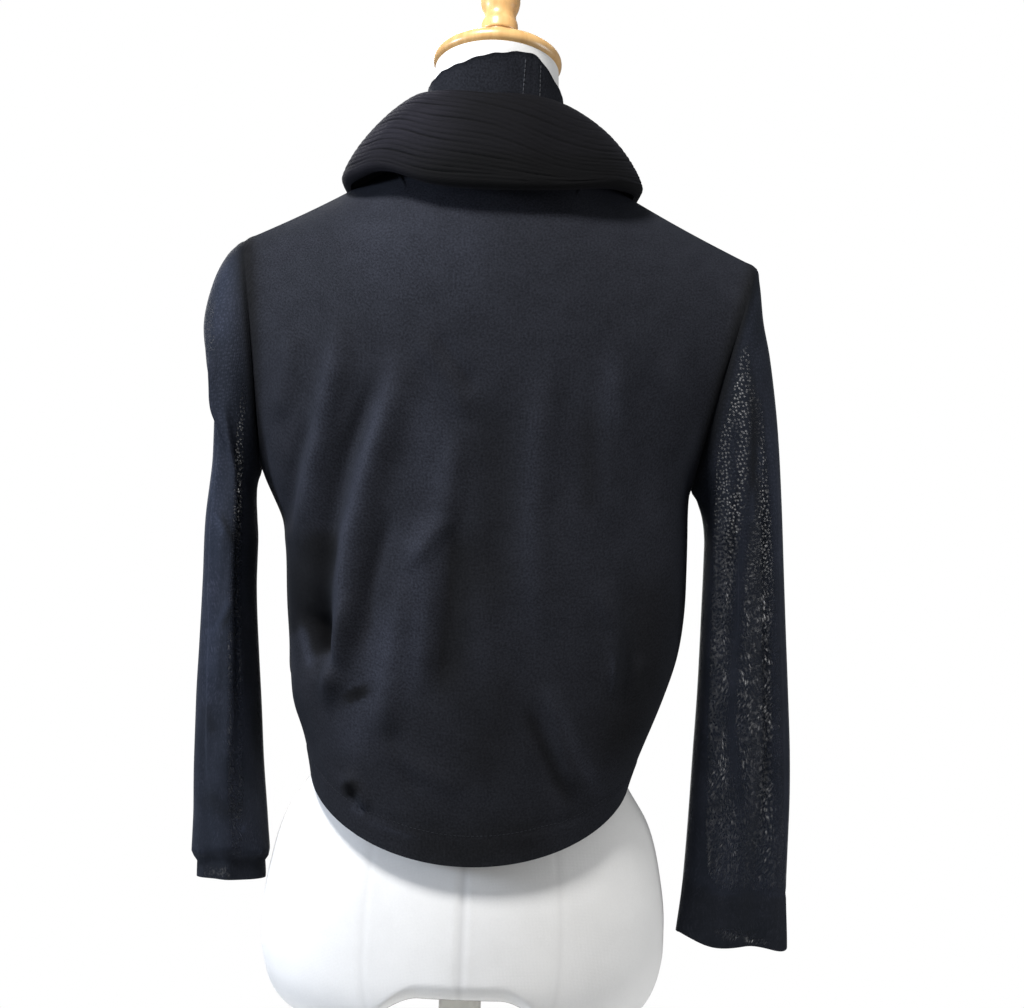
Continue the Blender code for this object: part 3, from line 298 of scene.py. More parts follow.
# Painted light and shade of the back: lighter along the ridges of its folds and over its top, darker in the
# hollows between them and near the hem: lines as above.
BACK_LIGHT_AND_SHADE = (
    (((338, 325), (330, 400), (312, 470), (303, 535)), 9, 11, 0.34),
    (((402, 330), (388, 390), (366, 460), (347, 540), (337, 620), (329, 705)), 9, 13, 0.46),
    (((412, 375), (428, 435), (430, 505)), 26, 24, 0.24),
    (((434, 470), (430, 560), (420, 640), (402, 730)), 30, 12, 0.36),
    (((392, 590), (374, 680), (352, 740), (345, 775)), 22, 22, 0.34),
    (((457, 500), (450, 600), (440, 712)), 8, 26, -0.34),
    (((330, 520), (320, 590), (318, 645)), 20, 14, -1.0),
    (((326, 610), (318, 640), (324, 656)), 12, 14, -1.3), (((292, 560), (296, 640)), 10, 10, -0.55),
    (((296, 612), (304, 650), (312, 672)), 4, 4, 0.6), (((497, 360), (502, 480), (496, 640)), 30, 26, -0.22),
    (((543, 350), (533, 450), (530, 560), (536, 660)), 9, 11, 0.17), (((612, 340), (613, 440)), 10, 10, 0.24),
    (((588, 390), (590, 530)), 12, 14, -0.18), (((655, 540), (644, 680), (602, 790)), 32, 32, -0.24),
    (((544, 675), (574, 748), (606, 806)), 7, 9, 0.2), (((520, 695), (549, 758), (576, 815)), 7, 8, -0.2),
    (((375, 832), (460, 852), (570, 832)), 32, 32, -0.22),
    (((480, 660), (490, 740), (470, 800)), 36, 36, -0.16),
    (((330, 262), (410, 240), (510, 244)), 62, 62, 0.18), (((354, 686), (361, 701)), 12, 12, -0.95),
    (((282, 500), (292, 585)), 12, 12, -0.22), (((349, 780), (354, 797)), 6, 6, -1.5),
    (((350, 804), (366, 812)), 6, 5, 0.4), (((363, 818), (392, 831), (422, 841)), 3, 3, 0.22),
    (((611, 650), (610, 697)), 2, 2, 0.35),
)
# The pouch over the left of the waist, a hollow with a soft lip: pixel, half width and height, rise.
POUCH = (
    (319, 626, 15, 34, -0.0125), (324, 678, 16, 16, 0.0045), (300, 700, 14, 26, 0.003),
)

# Creases of the fronts, across and up from the chest level, with width and rise.
FRONT_CREASES = {
    "left": (
        (((0.128, 0.11), (0.118, 0.03), (0.112, -0.18)), 0.013, 0.005),
        (((0.148, 0.06), (0.138, -0.04), (0.126, -0.15)), 0.011, 0.004),
        (((0.095, 0.15), (0.088, 0.06), (0.086, -0.04)), 0.01, 0.0022),
        (((0.1, -0.06), (0.092, -0.15), (0.088, -0.215)), 0.009, -0.0022),
        (((0.072, 0.04), (0.074, -0.08), (0.072, -0.2)), 0.01, 0.0018),
        (((0.16, 0.02), (0.15, -0.04), (0.14, -0.075)), 0.007, -0.0022),
    ),
    "right": (
        (((-0.122, 0.12), (-0.11, 0.02), (-0.106, -0.17)), 0.014, 0.005),
        (((-0.15, 0.06), (-0.142, -0.05), (-0.134, -0.16)), 0.012, 0.004),
        (((-0.09, 0.14), (-0.086, 0.05), (-0.082, -0.06)), 0.01, 0.0022),
        (((-0.098, -0.05), (-0.094, -0.14), (-0.086, -0.215)), 0.009, -0.0024),
        (((-0.07, 0.02), (-0.072, -0.1), (-0.07, -0.2)), 0.01, 0.0016),
        (((-0.165, 0.01), (-0.158, -0.05), (-0.15, -0.11)), 0.007, -0.002),
    ),
}

# Sheer patches of the sleeves in the photograph: left and right edge of each at a height, and how open.
RIGHT_PATCHES = (
    named("down from_x to_x open", (
        (338, 743, 749, 0.0), (350, 740, 750, 0.9), (375, 736, 753, 1.0), (400, 730, 762, 1.0),
        (450, 717, 767, 1.0), (500, 714, 771, 1.0), (600, 711, 777, 1.0), (700, 708, 781, 1.0),
        (800, 706, 784, 0.9), (870, 708, 786, 0.7), (889, 716, 784, 0.5), (894, 722, 780, 0.0),
    )),
    named("down from_x to_x open", (
        (926, 716, 740, 0.0), (930, 714, 742, 0.5), (936, 716, 752, 0.7), (942, 746, 770, 0.6),
        (946, 762, 774, 0.0),
    )),
)
LEFT_PATCHES = (
    named("down from_x to_x open", (
        (296, 205, 212, 0.0), (308, 203, 214, 1.0), (345, 204, 215, 1.0), (364, 208, 216, 0.0),
    )),
    named("down from_x to_x open", (
        (372, 242, 247, 0.0), (395, 240, 247, 0.7), (440, 235, 244, 0.9), (500, 233, 243, 1.0),
        (560, 230, 242, 0.5), (610, 226, 242, 0.6), (700, 226, 243, 0.7), (790, 227, 244, 0.7),
        (850, 230, 242, 0.3), (858, 230, 242, 0.0),
    )),
    named("down from_x to_x open", (
        (866, 206, 226, 0.0), (870, 202, 228, 0.8), (875, 206, 230, 0.7), (880, 208, 228, 0.0),
    )),
)
# Darker bands where a sleeve's cloth doubles, by pixel, with half width and strength.
RIGHT_BANDS = (
    (((754, 340), (755, 430), (751, 500), (741, 560), (735, 640), (731, 720), (738, 790), (748, 880)), 5.0, 0.9),
    (((735, 415), (733, 450), (734, 480), (728, 500)), 3.5, 0.7),
    (((776, 540), (775, 700), (779, 870)), 4.0, 0.6),
)
LEFT_BANDS = (
    (((236, 600), (234, 700), (236, 850)), 2.5, 0.5),
)
# Painted light and shade of the sleeves' cloth, lighter or darker, by pixel: left width, right width, change.
LEFT_SLEEVE_LIGHT_AND_SHADE = (
    (((214, 390), (212, 520), (209, 660), (206, 740)), 8, 9, 0.5),
    (((228, 250), (222, 300), (222, 350)), 12, 12, 0.3), (((234, 560), (237, 700), (237, 800)), 5, 5, 0.26),
    (((254, 430), (257, 600), (259, 820)), 9, 9, -0.34), (((240, 590), (247, 700)), 5, 6, -0.22),
    (((216, 505), (228, 530), (237, 548)), 3, 4, -0.34), (((213, 511), (225, 537)), 3, 3, 0.3),
    (((207, 642), (222, 615), (233, 590)), 3, 3, 0.28), (((222, 630), (233, 606)), 3, 3, -0.3),
    (((204, 700), (215, 738)), 5, 5, -0.22), (((200, 790), (225, 812), (250, 806)), 9, 9, -0.2),
    (((243, 823), (243, 834)), 3, 3, 0.5),
)
RIGHT_SLEEVE_LIGHT_AND_SHADE = (
    (((768, 380), (775, 480), (781, 600)), 6, 7, 0.3), (((735, 345), (718, 405), (706, 470)), 7, 9, -0.25),
    (((757, 445), (764, 470)), 2, 2, 0.6), (((756, 463), (766, 486)), 2, 2, 0.6),
    (((752, 485), (753, 526)), 2, 2, 0.4), (((750, 350), (754, 430), (751, 520)), 5, 5, -0.3),
)

# Grooves between the collar's ribs: share of the fall from fold to edge, at angles round the neck.
RIB_GROOVES = named("angle one two three four five six seven eight nine", (
    (-160, 0.08, 0.19, 0.3, 0.41, 0.52, 0.63, 0.74, 0.85, 0.95),
    (-110, 0.12, 0.25, 0.38, 0.5, 0.61, 0.71, 0.8, 0.89, 0.96),
    (-80, 0.3, 0.48, 0.62, 0.73, 0.81, 0.87, 0.92, 0.955, 0.985),
    (-55, 0.34, 0.56, 0.7, 0.79, 0.86, 0.91, 0.945, 0.97, 0.99),
    (-30, 0.2, 0.4, 0.55, 0.68, 0.77, 0.84, 0.9, 0.945, 0.98),
    (0, 0.05, 0.2, 0.32, 0.44, 0.56, 0.67, 0.77, 0.87, 0.95),
    (40, 0.02, 0.13, 0.25, 0.37, 0.49, 0.61, 0.73, 0.84, 0.94),
    (80, 0.01, 0.12, 0.24, 0.36, 0.48, 0.6, 0.72, 0.83, 0.93),
    (160, 0.06, 0.17, 0.28, 0.39, 0.5, 0.62, 0.73, 0.84, 0.94),
))
GROOVE_NAMES = ("one", "two", "three", "four", "five", "six", "seven", "eight", "nine")


# ---------------------------------------------------------------- meshes
def grid_normals(points, round_about=False):
    """Normals of a grid of points, from the rows and columns beside each."""
    if round_about:
        across = np.roll(points, -1, axis=1) - np.roll(points, 1, axis=1)
    else:
        across = np.gradient(points, axis=1)
    up = np.gradient(points, axis=0)
    normals = np.cross(across, up)
    return normals / np.maximum(np.linalg.norm(normals, axis=2, keepdims=True), 1e-12)


def smoothed(points, passes):
    """Even out the slopes of a grid, its edges kept."""
    points = points.copy()
    for _ in range(passes):
        around = points[:-2, 1:-1] + points[2:, 1:-1] + points[1:-1, :-2] + points[1:-1, 2:]
        points[1:-1, 1:-1] = 0.5 * points[1:-1, 1:-1] + 0.125 * around
    return points


def facing_out(points, centre_line, round_about=False):
    """Grid normals turned away from a line through the piece."""
    normals = grid_normals(points, round_about)
    if np.sum(normals * (points - centre_line)) < 0:
        normals = -normals
    return normals


def measured(grid, middle=0):
    """How far across from a middle column and up each point of a cloth lies, in metres, as cut."""
    across = run_along(grid, 1)
    return across - across[:, middle:middle + 1], run_along(grid)


def hanging(grid, turns, centre_heights, centres, middle_y):
    """Cloth measures of a hanging tube: round its middle on the level, and down from its top."""
    heights = grid[..., 2]
    off_x = np.abs(grid[..., 0]) - np.interp(heights, centre_heights, centres)
    ahead = np.radians(turns)[None, :]
    round_about = np.arctan2(grid[..., 1] - middle_y, off_x) - ahead
    across = SLEEVE_MEAN_RADIUS * (ahead + (round_about + math.pi) % (2 * math.pi) - math.pi)
    down = heights.max() - heights
    return (np.concatenate((across, across[:, :1] + SLEEVE_MEAN_RADIUS * 2 * math.pi), axis=1),
            np.concatenate((down, down[:, :1]), axis=1))


def tube_faces(rows, columns, foot):
    """Quads between the rings of a tube, the faces of its foot, and its last ring closed."""
    faces = [(r * columns + k, r * columns + (k + 1) % columns, (r + 1) * columns + (k + 1) % columns,
              (r + 1) * columns + k) for r in range(rows - 1) for k in range(columns)]
    return faces + foot + [tuple(range((rows - 1) * columns, rows * columns))]


def painted(mesh, marks):
    """Store named marks, a number to each point, on a mesh."""
    for name, values in marks.items():
        attribute = mesh.attributes.new(name, "FLOAT", "POINT")
        attribute.data.foreach_set("value", np.ascontiguousarray(values, np.float32).ravel())


def rim_quads(r, c, next_r, next_c, turned_over):
    """Quads that close the wall along one edge, between its two layers."""
    corners = ((r, c, 0), (r, c, 1), (next_r, next_c, 1), (next_r, next_c, 0))
    rim = np.stack([at_layer(*corner) for corner in corners], axis=1)
    return rim[:, ::-1] if turned_over else rim


def at_layer(r, c, layer):
    """Rows and columns with the number of their layer: 0 outside, 1 inside."""
    return np.stack((r, c, np.full_like(r, layer)), axis=-1)


def shell(name, outside, inside, finish, replaces, marks, measures=None, middle=0):
    """A closed wall of cloth between two grids, with its cloth measures and painted marks."""
    rows, columns = outside.shape[:2]
    round_about = measures is not None
    last = columns if round_about else columns - 1
    r, c = (a.ravel() for a in np.meshgrid(np.arange(rows - 1), np.arange(last), indexing="ij"))
    front = np.stack([at_layer(r + up, c + over, 0) for up, over in ((0, 0), (0, 1), (1, 1), (1, 0))], axis=1)
    back = front[:, ::-1].copy()
    back[..., 2] = 1
    quads = [front, back]
    c = np.arange(last)
    for row, turned_over in ((0, False), (rows - 1, True)):
        r = np.full_like(c, row)
        quads.append(rim_quads(r, c, r, c + 1, turned_over))
    if not round_about:
        r = np.arange(rows - 1)
        for column, turned_over in ((0, True), (columns - 1, False)):
            c = np.full_like(r, column)
            quads.append(rim_quads(r, c, r + 1, c, turned_over))
    quads = np.concatenate(quads)
    middle_r, middle_c = rows // 2, last // 2
    a, b = outside[middle_r, middle_c], outside[middle_r, (middle_c + 1) % columns]
    d = outside[middle_r + 1, middle_c]
    if np.dot(np.cross(b - a, d - a), a - inside[middle_r, middle_c]) < 0:
        quads = quads[:, ::-1]
    index = quads[..., 2] * rows * columns + quads[..., 0] * columns + quads[..., 1] % columns
    points = np.concatenate((outside.reshape(-1, 3), inside.reshape(-1, 3)))
    mesh = bpy.data.meshes.new(name)
    mesh.from_pydata(points.tolist(), [], index.tolist())
    across, up = measures or measured(outside, middle)
    layer = mesh.uv_layers.new(name="cloth")
    places = np.stack((across[quads[..., 0], quads[..., 1]], up[quads[..., 0], quads[..., 1]]), axis=-1)
    layer.data.foreach_set("uv", places.astype(np.float32).ravel())
    painted(mesh, {mark: np.tile(values.ravel(), 2) for mark, values in marks.items()})
    return piece(name, mesh, finish, replaces, CLOTH_CORNER)


def placed(name, data):
    """A new object in the scene."""
    made = bpy.data.objects.new(name, data)
    bpy.context.scene.collection.objects.link(made)
    return made


def piece(name, mesh, finish, replaces=(), corner=None):
    """An object that rides on the part, stands for its nodes and carries its finish."""
    mesh.shade_smooth()
    if corner:
        mesh.set_sharp_from_angle(angle=math.radians(corner))
    made = placed(name, mesh)
    mesh.materials.append(finish)
    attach(made, "root")
    if replaces:
        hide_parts(*replaces)
    return made


def crease_rise(across, down, creases):
    """Rise of creases, each a line with a width to either side, fading at both ends."""
    total = np.zeros_like(across)
    for line, left_width, right_width, rise in creases:
        knots = np.array(line, float)
        runs = np.diff(knots, axis=0)
        lengths = np.linalg.norm(runs, axis=1)
        starts = run_along(knots)
        best = np.full(across.shape, np.inf)
        side = np.zeros_like(across)
        travelled = np.zeros_like(across)
        for k, run in enumerate(runs):
            dx, dy = across - knots[k, 0], down - knots[k, 1]
            t = np.clip((dx * run[0] + dy * run[1]) / lengths[k] ** 2, 0.0, 1.0)
            off = np.hypot(dx - t * run[0], dy - t * run[1])
            nearer = off < best
            best = np.where(nearer, off, best)
            side = np.where(nearer, run[0] * dy - run[1] * dx, side)
            travelled = np.where(nearer, starts[k] + t * lengths[k], travelled)
        share = travelled / starts[-1]
        fade = ease(share / 0.3) * ease((1 - share) / 0.25)
        width = np.where(side > 0, left_width, right_width)
        total += rise * fade * bump(best, width)
    return total


def smooth_through(points, at):
    """Points on a smooth curve through control points along the first axis, at fractional places."""
    last = len(points) - 1
    at = np.asarray(at, float)
    k = np.clip(np.floor(at).astype(int), 0, last - 1)
    t = (at - k).reshape((-1,) + (1,) * (points.ndim - 1))
    p0, p1 = points[np.maximum(k - 1, 0)], points[k]
    p2, p3 = points[k + 1], points[np.minimum(k + 2, last)]
    square, cube = 2 * p0 - 5 * p1 + 4 * p2 - p3, 3 * p1 - p0 - 3 * p2 + p3
    return 0.5 * (2 * p1 + (p2 - p0) * t + square * t ** 2 + cube * t ** 3)


def raised(points):
    """Points with the chest level added to their heights."""
    lifted = np.array(points, float)
    lifted[..., 2] += CHEST_LEVEL
    return lifted


# ---------------------------------------------------------------- finishes
class Amount:
    """A socket whose arithmetic adds Math nodes."""

    def __init__(self, finish, socket):
        self.finish, self.socket = finish, socket

    def __add__(self, other):
        return self.finish.maths("ADD", self, other)

    def __sub__(self, other):
        return self.finish.maths("SUBTRACT", self, other)

    def __rsub__(self, other):
        return self.finish.maths("SUBTRACT", other, self)

    def __mul__(self, other):
        return self.finish.maths("MULTIPLY", self, other)

    def __truediv__(self, other):
        return self.finish.maths("DIVIDE", self, other)

    def __pow__(self, other):
        return self.finish.maths("POWER", self, other)

    __radd__ = __add__
    __rmul__ = __mul__

    def sine(self):
        return self.finish.maths("SINE", self)

    def size(self):
        return self.finish.maths("ABSOLUTE", self)

    def part(self):
        return self.finish.maths("FRACT", self)

    def over(self, low, high):
        """Zero at low and one at high, eased."""
        return self.finish.node("MapRange", {"interpolation_type": "SMOOTHSTEP"}, {0: self, 1: low, 2: high})


class Finish:
    """One material, built node by node."""

    def __init__(self, name, roughness, **fixed):
        self.material = bpy.data.materials.new(name)
        self.material.use_nodes = True
        self.nodes = self.material.node_tree.nodes
        self.links = self.material.node_tree.links
        self.shader = self.nodes["Principled BSDF"]
        self.shader.inputs["Roughness"].default_value = roughness
        for socket, value in fixed.items():
            self.shader.inputs[socket.replace("_", " ")].default_value = value

    def node(self, kind, settings=None, sockets=None, out=0):
        made = self.nodes.new("ShaderNode" + kind)
        for key, value in (settings or {}).items():
            if key == "stops":
                ramp = made.color_ramp
                while len(ramp.elements) < len(value):
                    ramp.elements.new(0.5)
                for element, (place, colour) in zip(ramp.elements, value):
                    element.position, element.color = place, (*colour, 1.0)
            else:
                setattr(made, key, value)
        for key, value in (sockets or {}).items():
            if isinstance(value, Amount):
                self.links.new(value.socket, made.inputs[key])
            else:
                made.inputs[key].default_value = value
        return Amount(self, made.outputs[out])

    def maths(self, operation, first, second=0.0):
        return self.node("Math", {"operation": operation}, {0: first, 1: second})

    def cloth_place(self):
        """Across and up the cloth, in metres."""
        place = self.node("UVMap", {"uv_map": "cloth"})
        parts = self.node("SeparateXYZ", None, {0: place})
        return place, parts, Amount(self, parts.socket.node.outputs[1])

    def mark(self, name):
        """A painted mark of the mesh."""
        return self.node("Attribute", {"attribute_name": name}, out=2)

    def noise(self, place, scale, detail=2.0, roughness=0.5, stretch=None):
        if stretch:
            place = self.node("Mapping", None, {"Vector": place, "Scale": stretch})
        return self.node("TexNoise", None,
                         {"Vector": place, "Scale": scale, "Detail": detail, "Roughness": roughness})

    def mix(self, share, one, other):
        """One colour turning into another."""
        def colour(value):
            return value if isinstance(value, Amount) else (*value, 1.0)
        return self.node("Mix", {"data_type": "RGBA"}, {0: share, 6: colour(one), 7: colour(other)}, out=2)

    def feed(self, **sockets):
        for socket, value in sockets.items():
            self.links.new(value.socket, self.shader.inputs[socket.replace("_", " ")])
        return self.material

    def relief(self, height, depth, strength=1.0):
        """A bump of a given depth in metres, fed to the shader's normal."""
        made = self.node("Bump", None, {"Strength": strength, "Distance": depth, "Height": height})
        self.links.new(made.socket, self.shader.inputs["Normal"])


def stitch_height(u, v, wale, course):
    """Face of a plain knit: columns of slanting loops."""
    column = u / wale
    off_middle = (column.part() - 0.5).size()
    loops = ((v / course + off_middle * 0.9) * (2 * math.pi)).sine() * 0.5 + 0.5
    ribs = 1 - (off_middle * 2.0) ** 3.0
    return loops * 0.45 + ribs * 0.55


def knit_finish(name):
    """Fine double knit in near black with a navy cast, painted from a shaded copy to a lit, bluer copy, with
    painted shade near black in the deepest hollows and between the loops.
    """
    dark, light, bluish_lit_gain = (0.0084, 0.0088, 0.0102), (0.0222, 0.0229, 0.0260), (1.7, 1.8, 2.15)
    made = Finish(name, 0.82, Sheen_Weight=0.009, Sheen_Roughness=0.45, Sheen_Tint=(0.55, 0.66, 1.0, 1.0),
                  Specular_IOR_Level=0.045)
    place, u, v = made.cloth_place()
    loops = stitch_height(u, v, 0.0011, 0.0009)
    cloud = made.noise(place, 46.0, 4.0, 0.6)
    grain = made.noise(place, 560.0, 3.0, 0.65)
    even = (cloud * 0.22 + grain * 0.78).over(0.30, 0.70)
    # Painted light and shade: a shaded copy and a lit, bluer copy of the knit, mixed by a painted mark.
    shaded_side = made.mix(even, np.multiply(dark, 0.5), np.multiply(light, 0.5))
    lit_side = made.mix(even, np.multiply(dark, bluish_lit_gain), np.multiply(light, bluish_lit_gain))
    light_and_shade_mixed = made.mix(made.mark("tone"), shaded_side, lit_side)
    # Painted shade, near black, where the hollows are deepest.
    colour = made.mix(made.mark("deep"), light_and_shade_mixed, (0.0008, 0.0008, 0.0010))
    # Painted shade between the stitches' loops.
    shaded = made.mix((loops * 0.5 + 0.5).over(0.35, 0.95) * 0.6 + 0.4, np.multiply(dark, 0.4), colour)
    made.relief(loops + grain * 0.5, 0.00022, 0.75)
    return made.feed(Base_Color=shaded, Roughness=0.74 + cloud * 0.16)


def rib_finish(name):
    """Ribbed knit with painted shade, darker down in its grooves and over its shaded side, with finer ribs
    between.
    """
    made = Finish(name, 0.84, Sheen_Weight=0.012, Sheen_Roughness=0.45, Sheen_Tint=(0.62, 0.62, 0.85, 1.0),
                  Specular_IOR_Level=0.08)
    place, u, v = made.cloth_place()
    loops = stitch_height(v, u, 0.0012, 0.0010)
    cloud = made.noise(place, 34.0, 3.0, 0.55)
    grain = made.noise(place, 560.0, 2.0, 0.6)
    colour = made.mix((cloud * 0.5 + grain * 0.5).over(0.25, 0.75), (0.0060, 0.0057, 0.0084),
                      (0.0140, 0.0132, 0.0180))
    # Painted shade down in the grooves, then over the collar's shaded side and lower edge.
    groove_shaded = made.mix(made.mark("groove").over(0.0, 1.0), colour, (0.0018, 0.0017, 0.0024))
    shaded = made.mix(made.mark("shade"), groove_shaded, (0.0016, 0.0016, 0.0017))
    made.relief(loops + grain * 0.4, 0.00025, 0.7)
    return made.feed(Base_Color=shaded, Roughness=0.78 + cloud * 0.14)


def mesh_finish(name, slant, openness):
    """Sheer mesh knit, open where it's one layer: round holes above, long drifting ones below."""
    made = Finish(name, 0.74, Sheen_Weight=0.02, Sheen_Roughness=0.4, Sheen_Tint=(0.60, 0.70, 1.0, 1.0),
                  Specular_IOR_Level=0.08)
    place, u, v = made.cloth_place()
    cloud = made.noise(place, 30.0, 3.0, 0.55)
    grain = made.noise(place, 520.0, 2.0, 0.6)
    sway = made.node("VectorMath", {"operation": "SCALE"},
                     {0: made.node("TexNoise", None, {"Vector": place, "Scale": 26.0, "Detail": 2.0}, out=1),
                      "Scale": 0.012})
    swayed = made.node("VectorMath", {"operation": "ADD"}, {0: place, 1: sway})

    def strings(lean, wide, tall, widest, at):
        turned_place = made.node("VectorRotate", {"rotation_type": "Z_AXIS"},
                                 {"Vector": at, "Angle": math.radians(lean)})
        cells = made.node("VectorMath", {"operation": "MULTIPLY"},
                          {0: turned_place, 1: (1.0 / wide, 1.0 / tall, 1.0)})
        spots = made.node("TexVoronoi", {"voronoi_dimensions": "2D"},
                          {"Vector": cells, "Scale": 1.0, "Randomness": 0.75})
        return 1 - spots.over(0.03, widest)

    steep = strings(slant * 16.0, 0.0022, 0.0090, 0.40, swayed)
    level = strings(slant * -28.0, 0.0022, 0.0080, 0.40, swayed)
    parted = made.noise(place, 24.0, 2.0, 0.5).over(0.40, 0.60)
    lit = made.noise(place, 75.0, 3.0, 0.6, stretch=(1.7, 0.45, 1.0)).over(0.36, 0.68)
    streaks = (steep * (1 - parted) + level * parted) * (lit * 0.85 + 0.15)
    dots = strings(slant * 9.0, 0.0026, 0.0032, 0.46, place) * (lit * 0.35 + 0.65)
    below = v.over(0.18, 0.30)
    holes = dots * (1 - below * 0.70) + streaks * below * 1.15
    behind = made.mark("behind")
    patterned = holes * 0.72 + 0.05
    plain = holes * 0.20 + 0.62
    open_share = made.mark("open") * (patterned * behind + plain * (1 - behind)) * openness
    ground = made.mix((cloud * 0.45 + grain * 0.30 + holes * 0.25).over(0.25, 0.7), (0.0070, 0.0085, 0.0115),
                      (0.0170, 0.0185, 0.0240))
    # Painted light and shade: a shaded copy and a lit, bluer copy of the mesh, mixed by a painted mark.
    shade_painted = made.node("VectorMath", {"operation": "SCALE"}, {0: ground, "Scale": 0.55})
    light_painted = made.node("VectorMath", {"operation": "MULTIPLY"}, {0: ground, 1: (2.1, 2.2, 2.6)})
    light_and_shade_mixed = made.mix(made.mark("tone"), shade_painted, light_painted)
    colour = made.mix(made.mark("seam"), light_and_shade_mixed, (0.0030, 0.0034, 0.0045))
    loops = stitch_height(u, v, 0.0014, 0.0011)
    made.relief(loops * 0.7 + grain * 0.5 - holes * 0.6, 0.0003, 0.8)
    return made.feed(Base_Color=colour, Roughness=0.68 + cloud * 0.16, Alpha=1.0 - open_share)


def thread_finish(name, colour):
    """Twisted thread of one colour."""
    made = Finish(name, 0.6, Sheen_Weight=0.03, Specular_IOR_Level=0.10)
    place = made.node("TexCoord", out=3)
    twist = made.noise(place, 900.0, 1.0, 0.5)
    return made.feed(Base_Color=made.mix(twist.over(0.3, 0.7), np.multiply(colour, 0.6), colour))


def canvas_finish():
    """White cotton cover, plain woven, a little grey in the grooves of its seams."""
    made = Finish("white_canvas", 0.85, Sheen_Weight=0.08)
    place = made.node("TexCoord", out=3)
    parts = made.node("SeparateXYZ", None, {0: place})
    up = Amount(made, parts.socket.node.outputs[2])
    threads = ((up * (2 * math.pi / 0.0011)).sine() + (parts * (2 * math.pi / 0.0011)).sine()) * 0.25 + 0.5
    cloud = made.noise(place, 16.0, 3.0, 0.5)
    fine = made.noise(place, 700.0, 2.0, 0.6)
    colour = made.mix((cloud * 0.7 + fine * 0.3).over(0.3, 0.7), (0.60, 0.59, 0.575), (0.66, 0.65, 0.635))
    seamed = made.mix(made.mark("seam") * 0.6, colour, (0.50, 0.49, 0.48))
    edged = made.mix(made.mark("underside"), seamed, (0.060, 0.022, 0.020))
    made.relief(threads * 0.6 + fine * 0.6, 0.0002, 0.5)
    return made.feed(Base_Color=edged, Roughness=0.80 + fine * 0.12)


def wood_finish():
    """Honey-coloured varnished wood with a long grain."""
    made = Finish("honey_wood", 0.36, Coat_Weight=0.35, Coat_Roughness=0.18)
    place = made.node("TexCoord", out=3)
    sway = made.noise(place, 14.0, 2.0, 0.5, stretch=(1.0, 1.0, 0.25))
    rings = made.noise(place, 110.0, 3.0, 0.6, stretch=(1.0, 1.0, 0.10))
    pores = made.noise(place, 900.0, 2.0, 0.6, stretch=(1.0, 1.0, 0.06))
    colour = made.node("ValToRGB", {"stops": ((0.25, (0.40, 0.200, 0.062)), (0.55, (0.57, 0.345, 0.135)),
                                              (0.85, (0.67, 0.455, 0.215)))}, {0: rings * 0.65 + sway * 0.35})
    shaded = made.mix(pores.over(0.62, 0.80) * 0.45, colour, (0.36, 0.18, 0.06))
    # Painted shade down in the turned grooves.
    shade_painted = made.mix(made.mark("groove") * 0.75, shaded, (0.22, 0.10, 0.035))
    made.relief(pores, 0.0001, 0.3)
    return made.feed(Base_Color=shade_painted, Roughness=0.30 + rings * 0.14)


def paint_finish():
    """Off-white paint on metal, lightly orange-peeled."""
    made = Finish("off_white_paint", 0.36, Coat_Weight=0.15, Coat_Roughness=0.2)
    place = made.node("TexCoord", out=3)
    cloud = made.noise(place, 22.0, 3.0, 0.5)
    peel = made.noise(place, 650.0, 1.0, 0.5)
    colour = made.mix(cloud.over(0.3, 0.7), (0.86, 0.85, 0.765), (0.92, 0.91, 0.83))
    made.relief(peel, 0.00012, 0.35)
    return made.feed(Base_Color=colour, Roughness=0.30 + cloud * 0.12)


# ---------------------------------------------------------------- body
def armhole(side, turn):
    """The armhole, turn 0 at the shoulder tip, 90 behind, 180 under the arm."""
    (tip_x, tip_z), (under_x, under_z) = SHOULDER_TIP[side], UNDERARM[side]
    c, s = cosine(turn), sine(turn)
    x = 0.5 * (tip_x + under_x) + 0.5 * (tip_x - under_x) * c - ARMHOLE_BOW * s * s
    z = 0.5 * (tip_z + under_z) + 0.5 * (tip_z - under_z) * c
    return x, ARMHOLE_DEPTH * s, z


def side_edge(side, row):
    """Half width, depth and height of the side seam and armhole edge."""
    arm_x, arm_y, arm_z = armhole(side, 180.0 * (2.0 - np.clip(row, 1.0, 2.0)))
    height = HEM_SIDE_HEIGHT + (UNDERARM[side][1] - HEM_SIDE_HEIGHT) * row
    width = along(BODY, "height", side, height)
    below = row < 1.0
    return np.where(below, width, arm_x), np.where(below, 0.0, arm_y), np.where(below, height, arm_z)


def panel_top(side, facing, share):
    """A panel's top edge: share 0 to 1 along the neckline, then 1 to 2 along the shoulder."""
    round_neck = np.minimum(share, 1.0)
    angle = 90.0 * round_neck if facing > 0 else 150.0 - 60.0 * round_neck
    neck = [along(NECKLINE, "angle", axis, angle) for axis in "xyz"]
    run = np.maximum(share - 1.0, 0.0)
    tip_x, tip_z = SHOULDER_TIP[side]
    point_x, point_z = NECKLINE["x"][3], NECKLINE["z"][3]
    shoulder_z = point_z + (tip_z - point_z) * run - SHOULDER_SAG * np.sin(math.pi * run)
    past = share > 1.0
    return (np.where(past, point_x + (tip_x - point_x) * run, neck[0]), np.where(past, 0.0, neck[1]),
            np.where(past, shoulder_z, neck[2]))


